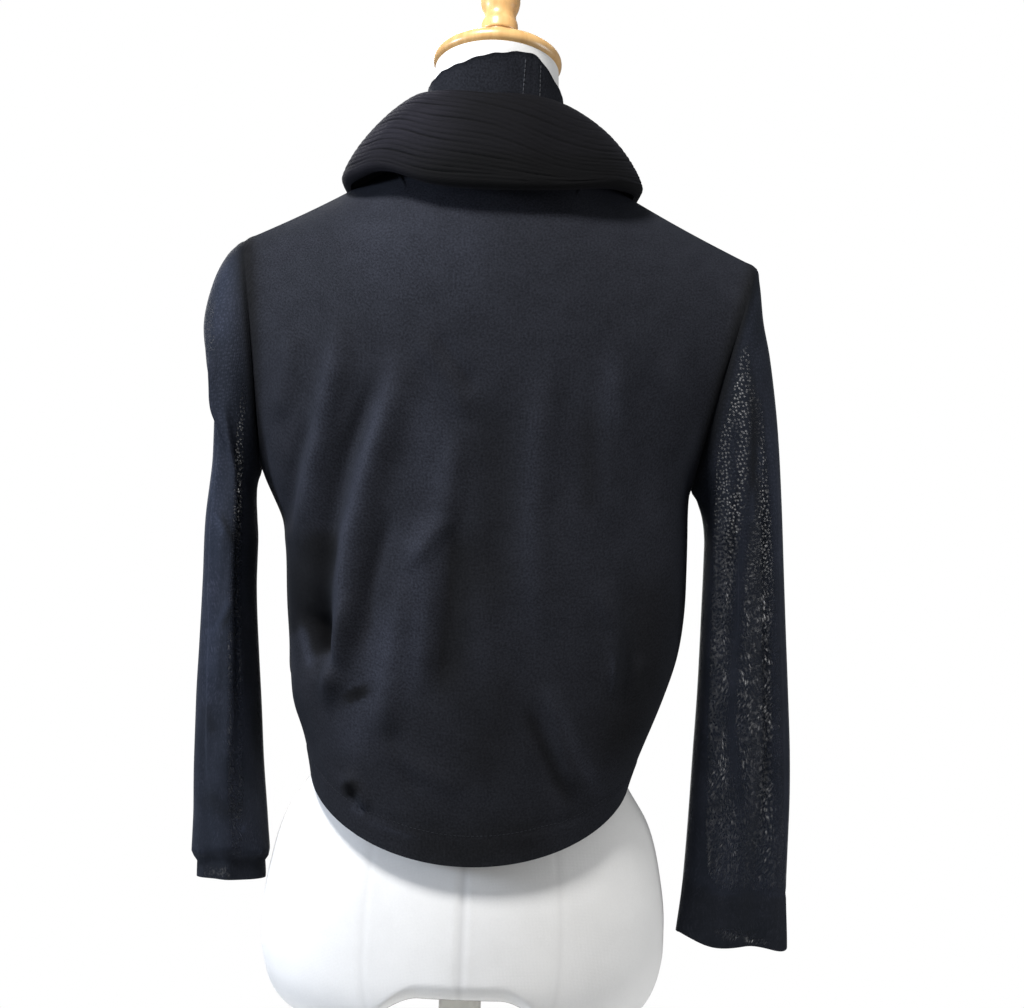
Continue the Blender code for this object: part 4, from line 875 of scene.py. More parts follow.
def panel(side, facing, row, share):
    """The outside of the body's cloth, before its creases, at rows and shares."""
    edge_x, edge_y, edge_z = side_edge(side, row)
    top_x, top_y, top_z = panel_top(side, facing, share)
    top_inner = panel_top(side, facing, np.zeros(1))[0][0]
    tip_x, tip_z = SHOULDER_TIP[side]
    fraction = (top_x - top_inner) / (tip_x - top_inner)
    inner_x = 0.0 if facing > 0 else along(FRONT_EDGE, "height", "x", edge_z)
    across = inner_x / edge_x
    facing_angle = np.radians(90.0 - (90.0 - ARMHOLE_FACING) * ease((row - 1.0) / 0.45))
    if facing > 0:
        level = ease(row / 2.0) ** 2
        spread = fraction
    else:
        level = (row / 2.0) ** 6
        columns = np.minimum(share, 1.0) * FRONT_NECK_COLUMNS + np.maximum(share - 1.0, 0.0) * SHOULDER_COLUMNS
        spread = columns / (FRONT_NECK_COLUMNS + SHOULDER_COLUMNS)
    gathered = np.sin(facing_angle * spread) / np.sin(facing_angle)
    reach = gathered * (1 - level) + fraction * level
    share_x = across + (1.0 - across) * reach
    turn = np.arcsin(np.minimum(1.0, share_x * np.sin(facing_angle)))
    floor = np.cos(facing_angle)
    bulge = np.maximum(0.0, (np.cos(turn) - floor) / (1.0 - floor)) ** BODY_ROUNDNESS
    hem_weight = np.maximum(0.0, 1.0 - row / 0.85) ** 1.6
    top_weight = ease((row - 0.3) / 1.7)
    if facing > 0:
        hem = -BACK_HEM_DROP * np.maximum(0.0, 1.0 - share_x ** 2) ** BACK_HEM_CURVE
    else:
        hem = FRONT_HEM_LIFT * (1 - reach) ** 2.5 - FRONT_HEM_SAG * np.sin(math.pi * reach)
    z = edge_z + hem * hem_weight + (top_z - tip_z) * top_weight
    depth = along(BODY, "height", "back" if facing > 0 else "front", z)
    full = edge_y + (depth - edge_y) * bulge
    under = np.clip((top_z - z) / YOKE_DROP, 0.0, 1.0)
    y = top_y + (full - top_y) * np.sqrt(1.0 - (1.0 - under) ** 2)
    points = np.stack((SIGN[side] * share_x * edge_x, facing * y, z), axis=-1)
    edge = np.stack(np.broadcast_arrays(SIGN[side] * edge_x, facing * edge_y, edge_z), axis=-1)
    on_armhole = ((row >= 1.0) & (share >= 2.0))[..., None]
    return np.where(on_armhole, edge, points)


def seam_profile(off):
    """How cloth dips into a seam and stands up a little over the turned edge beside it."""
    return -0.0010 * bump(off, 0.0016) + 0.0004 * bump(off - 0.0055, 0.0030)


def hem_profile(up):
    """A turned hem: thicker below its stitching, with a groove along it."""
    above = up - HEM_HEIGHT
    return 0.0005 * (1 - ease((above + 0.002) / 0.002)) - 0.0009 * bump(above, 0.0011)


def drop_seams(normals, rows, side_columns, shoulder_columns):
    """Give both panels of a seam the same wall direction along it."""
    below = rows <= 1.0
    for column in side_columns:
        normals[below, column, 1] = 0.0
    normals[-1, shoulder_columns, 1] = 0.0
    return normals / np.linalg.norm(normals, axis=2, keepdims=True)


def make_back(finish):
    """The back: rows run from the hem, 1 at the underarm, to the shoulder at 2."""
    rows, half = spaced(*BACK_ROWS), spaced(*BACK_COLUMNS)
    left = panel("left", 1, rows[:, None], half[None, :])[:, ::-1]
    right = panel("right", 1, rows[:, None], half[None, :])
    grid = np.concatenate((left[:, :-1], 0.5 * (left[:, -1:] + right[:, :1]), right[:, 1:]), axis=1)
    grid = smoothed(raised(grid), BACK_EVENING)
    normals = facing_out(grid, CHEST_CENTRE)
    columns = grid.shape[1]
    across, up = measured(grid, columns // 2)
    from_side = np.minimum(across - across[:, :1], across[:, -1:] - across)
    from_top = up[-1:] - up
    px, py = seen_at(grid)
    fade = ease(from_side / 0.020) * ease(from_top / 0.030)
    creases = [(line, CREASE_SPREAD * a, CREASE_SPREAD * b, height) for line, a, b, height in BACK_CREASES]
    rise = CREASE_DEPTH * crease_rise(px, py, creases)
    for at_x, at_y, wide, tall, height in POUCH:
        rise += height * bump(np.hypot((px - at_x) / wide, (py - at_y) / tall), 1.0)
    rise = rise * fade
    rise += hem_profile(up)
    rise += np.where(rows[:, None] >= 1.0, 1.0, 0.6) * seam_profile(from_side)
    outside = grid + normals * rise[..., None]
    normals = facing_out(outside, CHEST_CENTRE)
    shoulder = BACK_COLUMNS[1] + 1
    shoulders = np.r_[0:shoulder, columns - shoulder:columns]
    normals = drop_seams(normals, rows, (0, columns - 1), shoulders)
    # Painted light and shade: darker towards the hem and beside the side seams and armholes, lighter or darker
    # along the listed folds, and near black where the shade is deepest.
    shade_beside_arm = bump(from_side, 0.0085) * np.where(rows[:, None] >= 1.0, 1.0, 0.4)
    tone = BACK_LIT_SHARE - 0.15 * ease((py - 480.0) / 300.0) + crease_rise(px, py, BACK_LIGHT_AND_SHADE) - 0.45 * shade_beside_arm
    made = shell("knit_back", outside, outside - normals * BODY_WALL, finish, ("back",),
                 {"tone": np.clip(tone, 0.0, 1.0), "deep": np.clip(-tone, 0.0, 1.0)}, middle=columns // 2)
    return made, outside, normals, up


def make_front(side, finish):
    """A front: columns run from its edge along the neckline, then along the shoulder."""
    rows, share = spaced(*FRONT_ROWS), spaced(*FRONT_COLUMNS)
    grid = smoothed(raised(panel(side, -1, rows[:, None], share[None, :])), FRONT_EVENING)
    normals = facing_out(grid, CHEST_CENTRE)
    across, up = measured(grid)
    from_side = across[:, -1:] - across
    from_top = up[-1:] - up
    creases = [(line, width, width * 1.2, rise) for line, width, rise in FRONT_CREASES[side]]
    folds = crease_rise(grid[..., 0], grid[..., 2] - CHEST_LEVEL, creases)
    rise = folds * ease(from_side / 0.020) * ease(across / 0.020) * ease(from_top / 0.035)
    rise += hem_profile(up)
    rise += np.where(rows[:, None] >= 1.0, 1.0, 0.6) * seam_profile(from_side) + 0.6 * seam_profile(across)
    outside = grid + normals * rise[..., None]
    normals = facing_out(outside, CHEST_CENTRE)
    normals = drop_seams(normals, rows, (len(share) - 1,), np.arange(FRONT_COLUMNS[0], len(share)))
    # Painted light and shade: lighter along the creases' ridges, darker in their hollows.
    tone = np.clip(FRONT_LIT_SHARE + FRONT_LIT_GAIN * folds, 0.0, 1.0)
    made = shell("knit_front_" + side, outside, outside - normals * BODY_WALL, finish,
                 ("front_" + side,), {"tone": tone})
    return made, outside, normals, up


def make_band(side, finish):
    """A ribbed front band; share 0 beside the front, 1 at the free edge."""
    row = spaced(*FRONT_ROWS)[:, None]
    share = np.linspace(0.0, 1.0, BAND_COLUMNS)[None, :]
    start = panel(side, -1, row, np.zeros((1, 1)))
    beside = panel(side, -1, row, np.full((1, 1), 0.12))
    slope = (start[..., 1] - beside[..., 1]) / np.abs(beside[..., 0] - start[..., 0])
    near_top = ease((row - 1.8) / 0.2)
    width = BAND_WIDTH * share * (1.0 - 0.35 * near_top)
    x = start[..., 0] - SIGN[side] * width
    y = start[..., 1] + slope * width * (1 - 0.5 * share)
    z = start[..., 2] + 0.10 * width * np.maximum(0.0, 1.0 - row / 0.85)
    z = z - 0.80 * width * ease((row - 1.3) / 0.7) - 0.0035 * np.minimum(1.0, 4 * share) * near_top
    grid = raised(np.stack((x, y, z), axis=-1))
    normals = facing_out(grid, CHEST_CENTRE)
    across, up = measured(grid)
    groove = sum(bump(across - 0.0055 * k, 0.0009) for k in range(1, 8))
    rise = 0.0008 - 0.0013 * np.minimum(groove, 1.0) * ease((2.0 - row) / 0.12) - 0.0010 * bump(across, 0.0016)
    rise += 0.0012 * np.sin(up / 0.031 + 2.0 * share) * share
    outside = grid + normals * rise[..., None]
    # The grooves' mark is also painted darker as shade.
    return shell("ribbed_band_" + side, outside, grid - normals * RIB_WALL, finish,
                 ("band_" + side,), {"groove": np.minimum(groove, 1.0)})


# ---------------------------------------------------------------- sleeves
SLEEVES = {"left": (LEFT_SLEEVE, LEFT_HOLLOWS), "right": (RIGHT_SLEEVE, RIGHT_HOLLOWS)}
SLEEVE_LOOKS = {
    "left": (LEFT_PATCHES, LEFT_BANDS, LEFT_SLEEVE_LIGHT_AND_SHADE),
    "right": (RIGHT_PATCHES, RIGHT_BANDS, RIGHT_SLEEVE_LIGHT_AND_SHADE),
}
# Soft creases of a sleeve, by turn and ring along each, with width and rise.
SLEEVE_CREASES = {
    "right": (
        (((72, 2.0), (84, 4.0), (96, 6.5), (88, 9.0), (84, 12.6)), 8, 8, 0.0028),
        (((95, 3.5), (108, 6.0), (104, 9.0)), 7, 9, -0.0022),
        (((60, 4.0), (66, 7.0), (58, 12.5)), 7, 7, -0.002),
        (((120, 2.5), (124, 6.0), (118, 12.0)), 9, 9, 0.0016),
        (((40, 3.0), (44, 8.0), (38, 12.6)), 8, 8, 0.0014),
        (((112, 6.6), (84, 7.2), (52, 7.0)), 6, 10, 0.0012),
        (((128, 8.4), (96, 9.1), (60, 8.8)), 6, 10, 0.001),
        (((250, 3.0), (262, 7.0), (256, 12.0)), 10, 10, 0.0026),
        (((290, 4.0), (284, 8.0), (292, 12.6)), 9, 9, -0.002),
        (((220, 5.0), (228, 9.0), (222, 12.6)), 9, 9, 0.0018),
    ),
    "left": (
        (((70, 1.5), (64, 4.0), (60, 7.0), (66, 12.0)), 8, 8, 0.0026),
        (((48, 3.0), (44, 7.0), (50, 12.4)), 7, 7, -0.0022),
        (((96, 1.5), (100, 4.0), (104, 7.0), (98, 12.4)), 8, 8, 0.0024),
        (((118, 3.0), (114, 6.0), (120, 11.0)), 7, 7, -0.002),
        (((30, 3.6), (60, 4.2), (95, 4.6)), 8, 8, 0.0016),
        (((35, 4.6), (66, 5.2), (100, 5.4)), 8, 8, -0.0014),
        (((40, 6.2), (72, 6.8), (104, 6.7)), 7, 10, 0.0012),
        (((85, 9.8), (60, 10.4), (36, 10.3)), 7, 10, 0.001),
        (((30, 7.2), (52, 7.9), (80, 8.6)), 6, 7, 0.0011), (((100, 7.4), (76, 8.2), (50, 9.4)), 6, 7, -0.001),
        (((36, 8.9), (64, 9.3), (92, 9.2)), 6, 6, 0.0009),
        (((110, 10.6), (82, 11.2), (56, 11.9)), 6, 8, 0.0011),
        (((40, 1.4), (58, 2.4), (70, 3.6)), 7, 7, 0.0012),
        (((252, 3.0), (258, 7.0), (250, 12.0)), 10, 10, 0.0026),
        (((292, 4.0), (286, 8.0), (294, 12.6)), 9, 9, -0.002),
        (((222, 5.0), (230, 9.0), (224, 12.6)), 9, 9, 0.0018),
    ),
}


def sleeve_grid(side, rings, turns):
    """A sleeve's outside; turn 0 outer side, 90 behind, 180 inner side."""
    table, hollows = SLEEVES[side]
    ring, turn = rings[:, None], turns[None, :]
    at = {name: along(table, "ring", name, ring) for name in table if name != "ring"}
    c, s = cosine(turn), sine(turn)
    middle_x = 0.5 * (at["outer_x"] + at["inner_x"])
    x = middle_x + 0.5 * (at["outer_x"] - at["inner_x"]) * c
    z = 0.5 * (at["outer_z"] + at["inner_z"]) + 0.5 * (at["outer_z"] - at["inner_z"]) * c
    y = at["middle_y"] + at["half_depth"] * s
    x = x - ARMHOLE_BOW * s * s * np.maximum(0.0, 1.0 - ring / 2.5)
    dent = 0.0
    for direction, spread, depth, from_ring, to_ring in hollows:
        span = ease((ring - from_ring) / 1.5) * ease((to_ring + 1.5 - ring) / 1.5)
        dent = dent + depth * span * bump(turned_from(turn, direction), spread)
    off_x, off_y = x - middle_x, y - at["middle_y"]
    length = np.maximum(1e-6, np.hypot(off_x, off_y))
    x = x - off_x / length * dent * 0.6
    y = y - off_y / length * dent
    cuff = np.maximum(0.0, ring - 12.0)
    if side == "left":
        z = z - 0.0165 * cuff * ease((s + 0.35) / 0.6)
    else:
        z = z - cuff * (0.0045 * np.maximum(0.0, s) + 0.0025 * sine(4 * turn))
    return np.stack(np.broadcast_arrays(SIGN[side] * x, y, z), axis=-1), middle_x, at["middle_y"]


def patch_share(px, py, patches, bands):
    """How open the sheer cloth shows at each pixel."""
    share = np.zeros_like(px)
    for patch in patches:
        lo, hi = along(patch, "down", "from_x", py), along(patch, "down", "to_x", py)
        inside = ease((px - lo + 1.5) / 3.5) * ease((hi + 1.5 - px) / 3.5)
        share = np.maximum(share, inside * along(patch, "down", "open", py))
    for line, width, strength in bands:
        share = share * (1 - crease_rise(px, py, ((line, width, width, strength),)))
    return share


def make_sleeve(side, finish):
    """A sleeve of one layer of mesh, with the turned hem of its cuff."""
    rings = np.linspace(0.0, 13.0, SLEEVE_ROWS)
    turns = -180.0 + np.arange(SLEEVE_COLUMNS) * 360.0 / SLEEVE_COLUMNS
    grid, middle_x, middle_y = sleeve_grid(side, rings, turns)
    grid = raised(grid)
    middle = np.stack(np.broadcast_arrays(SIGN[side] * middle_x, middle_y, np.zeros(1)), axis=-1)
    level_line = np.concatenate((np.broadcast_to(middle[..., :2], grid[..., :2].shape), grid[..., 2:]), axis=-1)
    normals = facing_out(grid, level_line, round_about=True)
    up = run_along(grid)
    turn = (turns % 360.0)[None, :] + 0.0 * rings[:, None]
    ring = rings[:, None] + 0.0 * turns[None, :]
    creases = [(tuple((t, r * 12.0) for t, r in line), a, b, rise) for line, a, b, rise in SLEEVE_CREASES[side]]
    rise = SLEEVE_CREASE_DEPTH * crease_rise(turn, ring * 12.0, creases) * ease(up / 0.02)
    rise += seam_profile(up)
    # The turned hem of the cuff is drawn in a little and stands in soft waves.
    to_edge = up[-1:] - up
    left_height = LEFT_CUFF_HEIGHT + 0.0065 * np.maximum(0.0, sine(turn))
    hem_height = RIGHT_CUFF_HEIGHT if side == "right" else left_height
    in_hem = 1 - ease((to_edge - hem_height + 0.002) / 0.004)
    rise += -0.0008 * bump(to_edge - hem_height, 0.0012)
    if side == "left":
        rise += -0.0050 * in_hem
    waves = sine(5 * turn + 40.0) + 0.6 * sine(3 * turn - 20.0)
    rise += 0.0012 * waves * ease(1 - to_edge / 0.06)
    outside = grid + normals * rise[..., None]
    normals = facing_out(outside, level_line, round_about=True)
    px, py = seen_at(outside)
    patches, bands, lines = SLEEVE_LOOKS[side]
    opened = patch_share(px, py, patches, bands)
    # The sides of the tube are one layer too: they're as sheer as the patches, with folds between.
    for middle_turn in (0.0, 180.0):
        beside = 0.8 * bump(turned_from(turn, middle_turn), 17.0)
        opened = np.maximum(opened, beside * ease(up / 0.05) * (1 - in_hem))
    opened = opened * ease((up - 0.004) / 0.012)
    behind = ease((sine(turn) + 0.25) / 0.5)
    # Painted light and shade: darker in the hem, with the listed lighter and darker places on the back half.
    tone = np.clip(SLEEVE_LIT_SHARE - 0.20 * in_hem + behind * crease_rise(px, py, lines), 0.0, 1.0)
    hung = rings >= 3.0
    centre_heights = np.append(grid[hung, :, 2].mean(axis=1)[::-1], CHEST_LEVEL + 0.20)
    centres = np.append(middle_x[hung, 0][::-1], 0.190)
    measures = hanging(outside, turns, centre_heights, centres, middle_y)
    return shell("mesh_sleeve_" + side, outside, outside - normals * SLEEVE_WALL, finish,
                 ("sleeve_" + side,),
                 {"open": opened, "behind": behind, "tone": tone, "seam": bump(up, 0.0085)}, measures)


# ---------------------------------------------------------------- collar
def collar_line(table, angle):
    """Points of a line round the neck, the wearer's left at positive angles."""
    both = {name: np.concatenate((sign * values[:0:-1], values))
            for (name, values), sign in zip(table.items(), (-1.0, -1.0, 1.0, 1.0))}
    return np.stack([along(both, "angle", axis, angle) for axis in "xyz"], axis=-1)


def outward_from_neck(angle):
    """Level direction away from the neck at each angle."""
    step = collar_line(FALL_EDGE, angle) - collar_line(NECKLINE, angle)
    step[..., 2] = 0.0
    return step / np.linalg.norm(step, axis=-1, keepdims=True)


def right_sag(angle):
    """How much lower the collar's fold lies on the wearer's right than on the left."""
    return 0.0078 * ease((-angle - 5.0) / 75.0) * ease((angle + 150.0) / 50.0)


def roll_controls(angle):
    """Control points of the ribbed collar, from the neckline over the fold to its free edge."""
    out, up = outward_from_neck(angle), np.array((0.0, 0.0, 1.0))
    seam = collar_line(NECKLINE, angle) + out * 0.0009 + up * 0.0022
    fold = collar_line(FOLD_LINE, angle) - right_sag(angle)[:, None] * up
    hitch = 0.0070 * bump(angle - 48.0, 17.0) + 0.0018 * bump(angle + 98.0, 16.0) + ROLL_TURN
    edge = collar_line(FALL_EDGE, angle) + hitch[:, None] * up
    leg_top = fold - out * 0.0060 - up * 0.0075
    points = [seam, 0.5 * (seam + leg_top), leg_top, fold - out * 0.0028 - up * 0.0018]
    fullness = ROLL_FULLNESS_BEHIND + (ROLL_FULLNESS_BESIDE - ROLL_FULLNESS_BEHIND) * ease(np.abs(angle) / 75.0)
    bend = np.linspace(0.0, 0.5 * math.pi, 181)[:, None]
    run, drop = np.sin(bend) ** fullness, 1.0 - np.cos(bend) ** fullness
    length = run_along(np.stack((run, drop), axis=-1))
    bow = np.stack((run, run, drop), axis=-1)
    for k in range(21):
        at = length[-1] * k / 20
        reach = np.array([read_at(at[i], length[:, i], bow[:, i]) for i in range(len(angle))])
        points.append(fold + (edge - fold) * reach)
    for turn in (50.0, 100.0):
        points.append(edge + out * ROLL_TURN * (cosine(turn) - 1.0) - up * ROLL_TURN * sine(turn))
    return np.array(points)


def next_place(k, angle):
    """Where the groove below the kth lies, the free edge after the last."""
    if k + 1 < len(GROOVE_NAMES):
        return along(RIB_GROOVES, "angle", GROOVE_NAMES[k + 1], angle)
    return np.full(angle.shape, 1.02)


def make_roll(finish):
    """The ribbed collar, up from the neckline, over the fold and down to its free edge."""
    angle = np.linspace(COLLAR_END_ANGLE, -COLLAR_END_ANGLE, ROLL_COLUMNS)
    first, last = 8, 8 + ROLL_FALL_ROWS
    at = np.concatenate((np.linspace(0.0, 4.0, first + 1)[:-1], np.linspace(4.0, 24.0, ROLL_FALL_ROWS + 1),
                         np.linspace(24.0, 26.0, 7)[1:]))
    grid = raised(smooth_through(roll_controls(angle), at))
    core = np.array((0.0, 0.0, CHEST_LEVEL + 0.27))
    normals = grid_normals(grid)
    middle = len(grid) // 2
    normals *= np.sign(np.sum(normals[middle] * (grid[middle] - core)))
    run = run_along(grid)
    fall = (run - run[first]) / (run[last] - run[first])
    length = (run[last] - run[first])[None, :]
    # The grooves are cut into the relief, and their mark is also painted darker as shade.
    groove = np.zeros_like(fall)
    strength = 0.55 + 0.45 * ease((angle + 75.0) / 60.0) + 0.25 * ease((-angle - 90.0) / 30.0)
    for k, name in enumerate(GROOVE_NAMES):
        place = along(RIB_GROOVES, "angle", name, angle) + 0.007 * sine(angle * 5.3 + 77.0 * k)
        uneven = 0.72 + 0.28 * sine(angle * (3.1 + 0.4 * k) + 131.0 * k)
        deep = (strength * uneven)[None, :]
        groove = np.maximum(groove, deep * bump((fall - place[None, :]) * length, 0.00085))
        between = place + 0.5 * (next_place(k, angle) - place)
        groove = np.maximum(groove, 0.55 * (strength * (1.6 - uneven))[None, :]
                            * bump((fall - between[None, :]) * length, 0.00070))
    # Finer ribs lie between the deep ones.
    fine = 0.5 + 0.5 * np.cos(2 * math.pi * (fall * length) / 0.0042)
    rise = 0.0002 * (1 - groove) - 0.0007 * groove + 0.00010 * fine * (1 - groove)
    # Slack in the fall: a broad dip right of the middle, and a soft pleat running to the right end.
    a = angle[None, :]
    rise = rise + 0.0020 * bump(a + 62.0, 22.0) * bump(fall - 0.45, 0.28)
    rise = rise - 0.0016 * bump(a + 30.0, 12.0) * bump(fall - 0.6, 0.35)
    rise = rise + 0.0010 * sine(a * 4.1 + 40.0) * bump(fall - 0.75, 0.35)
    on_fall = ease((fall + 0.01) / 0.03)
    outside = grid + normals * (rise * on_fall)[..., None]
    # Painted shade: darker to the right of the collar, away from the light, and towards its lower edge.
    shade = np.minimum(0.96, 0.80 * ease((62.0 - a) / 60.0) + 0.40 * ease((fall - 0.60) / 0.40))
    return shell("ribbed_collar", outside, grid - normals * RIB_WALL, finish, ("collar_roll",),
                 {"groove": groove * on_fall, "shade": shade})


def make_stand(finish):
    """The plain funnel inside the collar, with a strip of doubled cloth at the centre back."""
    angle = np.linspace(COLLAR_END_ANGLE, -COLLAR_END_ANGLE, STAND_COLUMNS)
    out = outward_from_neck(angle)
    seam = collar_line(NECKLINE, angle) + np.array((0.0, 0.0, 0.0012)) + out * 0.0004
    top = collar_line(STAND_TOP, angle)
    top[:, 2] += 0.0100 * bump(angle + 30.0, 32.0) - right_sag(angle)
    top[:, 2] += 0.0007 * sine(angle * 9.0) + 0.0004 * sine(angle * 23.0 + 50.0)
    t = np.linspace(0.0, 1.0, STAND_ROWS)[:, None, None]
    grid = raised(seam + (top - seam) * t - out * 0.0050 * np.sin(math.pi * t))
    core = grid.mean(axis=1, keepdims=True)
    normals = facing_out(grid, core)
    middle = STAND_COLUMNS // 2
    across, up = measured(grid, middle)
    rise = -0.0006 * bump(across - 0.0300, 0.0010)
    rise += 0.0005 * ease((across - 0.0215) / 0.0012) * ease((0.0385 - across) / 0.0012)
    rise += 0.0006 * bump(up[-1:] - up, 0.0016)
    outside = grid + normals * rise[..., None]
    # The funnel's painted light and shade: one even level, nearer its shaded copy.
    made = shell("collar_funnel", outside, grid - normals * STAND_WALL, finish, ("collar_stand",),
                 {"tone": np.full(across.shape, FUNNEL_LIT_SHARE)}, middle=middle)
    return made, outside, normals, across


# ---------------------------------------------------------------- stitching
def stitch_rows(name, lines, finish, length=0.0024, gap=0.0011, radius=0.00022):
    """Rows of short raised stitches along lines of points with their outward directions."""
    points, faces = [], []
    sides = 6
    profile = ((-0.5, 0.15), (-0.32, 0.9), (0.0, 1.0), (0.32, 0.9), (0.5, 0.15))
    for line, out in lines:
        run = run_along(line)
        for k in range(int(run[-1] / (length + gap))):
            at = (k + 0.5) * (length + gap)
            ends = [read_at(at + half * length, run, line) for half in (-0.5, 0.5)]
            normal = read_at(at, run, out)
            normal /= np.linalg.norm(normal)
            axis = (ends[1] - ends[0]) / np.linalg.norm(ends[1] - ends[0])
            side = np.cross(axis, normal)
            start = len(points)
            for place, share in profile:
                centre = 0.5 * (ends[0] + ends[1]) + axis * place * length + normal * radius * 0.5
                for i in range(sides):
                    angle = 2 * math.pi * i / sides
                    points.append(centre + (side * math.cos(angle) + normal * math.sin(angle)) * radius * share)
            for j in range(len(profile) - 1):
                for i in range(sides):
                    a, b = start + j * sides + i, start + j * sides + (i + 1) % sides
                    faces.append((a, b, b + sides, a + sides))
            faces.append(tuple(start + i for i in range(sides))[::-1])
            faces.append(tuple(start + (len(profile) - 1) * sides + i for i in range(sides)))
    mesh = bpy.data.meshes.new(name)
    mesh.from_pydata([tuple(p) for p in points], [], faces)
    return piece(name, mesh, finish)


def level_line(outside, normals, up, height):
    """The points and directions of a cloth at a distance above its lower edge."""
    line, out = [], []
    for c in range(outside.shape[1]):
        r = int(np.clip(np.searchsorted(up[:, c], height), 1, len(up) - 1))
        t = (height - up[r - 1, c]) / max(1e-9, up[r, c] - up[r - 1, c])
        line.append(outside[r - 1, c] * (1 - t) + outside[r, c] * t)
        out.append(normals[r, c])
    return np.array(line), np.array(out)


# ---------------------------------------------------------------- dress form and stand
def arch(x):
    """Height of the form's lower edge across its width."""
    return ARCH_TOP + (FORM_FOOT - ARCH_TOP) * ease((np.abs(x) - 0.032) / 0.062)


FORM_SEAMS = (0.0, 62.0, 90.0, 118.0, 180.0, 240.0, 270.0, 300.0)


def make_form(finish):
    """A smooth torso under canvas, sewn from eight panels, arched below and cut to the cap above."""
    low = np.linspace(-0.4200, -0.3700, 26)
    high = np.linspace(-0.3700, 0.3120, 150)[1:]
    heights = np.concatenate((low, high))[:, None]
    columns = FORM_COLUMNS
    turn = (np.arange(columns) * 360.0 / columns)[None, :]
    c, s = cosine(turn), sine(turn)
    width = along(FORM, "height", "half_width", heights)
    back = along(FORM, "height", "back", heights)
    front = along(FORM, "height", "front", heights)
    depth = np.where(s > 0, back, front)
    covered = ease((heights + 0.225) / 0.02) * (1 - ease((heights - 0.285) / 0.02))
    slack = 0.0012 * covered
    seam = sum(bump(turned_from(turn, place), 0.55) for place in FORM_SEAMS)
    beside = sum(bump(np.abs(turned_from(turn, place)) - 1.7, 0.8) for place in FORM_SEAMS)
    swell = 0.0003 * beside - 0.0008 * seam
    x = (width - slack + swell) * c
    y = (depth - slack + swell) * s
    z = np.maximum(heights + 0.0 * c, arch(x) + 0.35 * (heights - FORM_FOOT))
    grid = np.stack((x, y, z), axis=-1)
    lean = math.tan(math.radians(CAP_TILT))
    neck_top = CAP_CENTRE_HEIGHT - 0.5 * CAP_THICKNESS / math.cos(math.radians(CAP_TILT)) - JOINT_GAP
    rings = []
    for t in np.linspace(0.0, 1.0, 14)[1:]:
        radius_x = (0.0525 + (NECK_TOP_RADIUS - 0.0525) * t) * c[0]
        radius_y = (0.0520 + (0.965 * NECK_TOP_RADIUS - 0.0520) * t) * s[0]
        height = 0.3120 + (neck_top + lean * radius_y - 0.3120) * t
        rings.append(np.stack((radius_x, radius_y, height), axis=-1))
    grid = np.concatenate((grid, np.array(rings)))
    rows = len(grid)
    foot = [tuple(dict.fromkeys(((columns - k) % columns, columns - k - 1, k + 1, k)))
            for k in range(columns // 2)]
    mesh = bpy.data.meshes.new("dress_form")
    mesh.from_pydata(raised(grid).reshape(-1, 3).tolist(), [], tube_faces(rows, columns, foot))
    underside = np.zeros((rows, columns))
    underside[:2] = 1.0
    painted(mesh, {"underside": underside, "seam": seam * (1 - ease((grid[..., 2] - 0.29) / 0.02))})
    piece("dress_form", mesh, finish, ("form_torso",), FORM_CORNER)


def turned(name, profile, finish, replaces, tilt=0.0, centre=(0.0, 0.0, 0.0), grooves=()):
    """A turned piece from a profile of radius and height, closed at both ends."""
    dense = []
    for (r0, z0), (r1, z1) in zip(profile[:-1], profile[1:]):
        steps = min(max(1, int(math.hypot(r1 - r0, z1 - z0) / 0.0010)), 24)
        dense += [(r0 + (r1 - r0) * k / steps, z0 + (z1 - z0) * k / steps) for k in range(steps)]
    dense.append(profile[-1])
    radius, height = np.array(dense).T
    cut = np.zeros_like(height)
    for place in grooves:
        cut = np.maximum(cut, bump(height - place, 0.0007))
    radius = radius - 0.0009 * cut
    angle = np.arange(TURNED_COLUMNS) * 2 * math.pi / TURNED_COLUMNS
    points = np.stack(np.broadcast_arrays(radius[:, None] * np.cos(angle), radius[:, None] * np.sin(angle),
                                          height[:, None]), axis=-1).reshape(-1, 3)
    place = Matrix.Translation(Vector(centre)) @ Matrix.Rotation(math.radians(tilt), 4, "X")
    faces = tube_faces(len(dense), TURNED_COLUMNS, [tuple(range(TURNED_COLUMNS))[::-1]])
    mesh = bpy.data.meshes.new(name)
    mesh.from_pydata([tuple(place @ Vector(p)) for p in points], [], faces)
    # The grooves' mark is also painted darker as shade.
    painted(mesh, {"groove": np.repeat(cut, TURNED_COLUMNS)})
    piece(name, mesh, finish, replaces, TURNED_CORNER)


def rounded(profile, passes=2):
    """A profile with its corners cut smooth, ends kept."""
    points = [np.array(p, float) for p in profile]
    for _ in range(passes):
        cut = [points[0]]
        for a, b in zip(points[:-1], points[1:]):
            cut += [0.75 * a + 0.25 * b, 0.25 * a + 0.75 * b]
        cut.append(points[-1])
        points = cut
    return [tuple(p) for p in points]


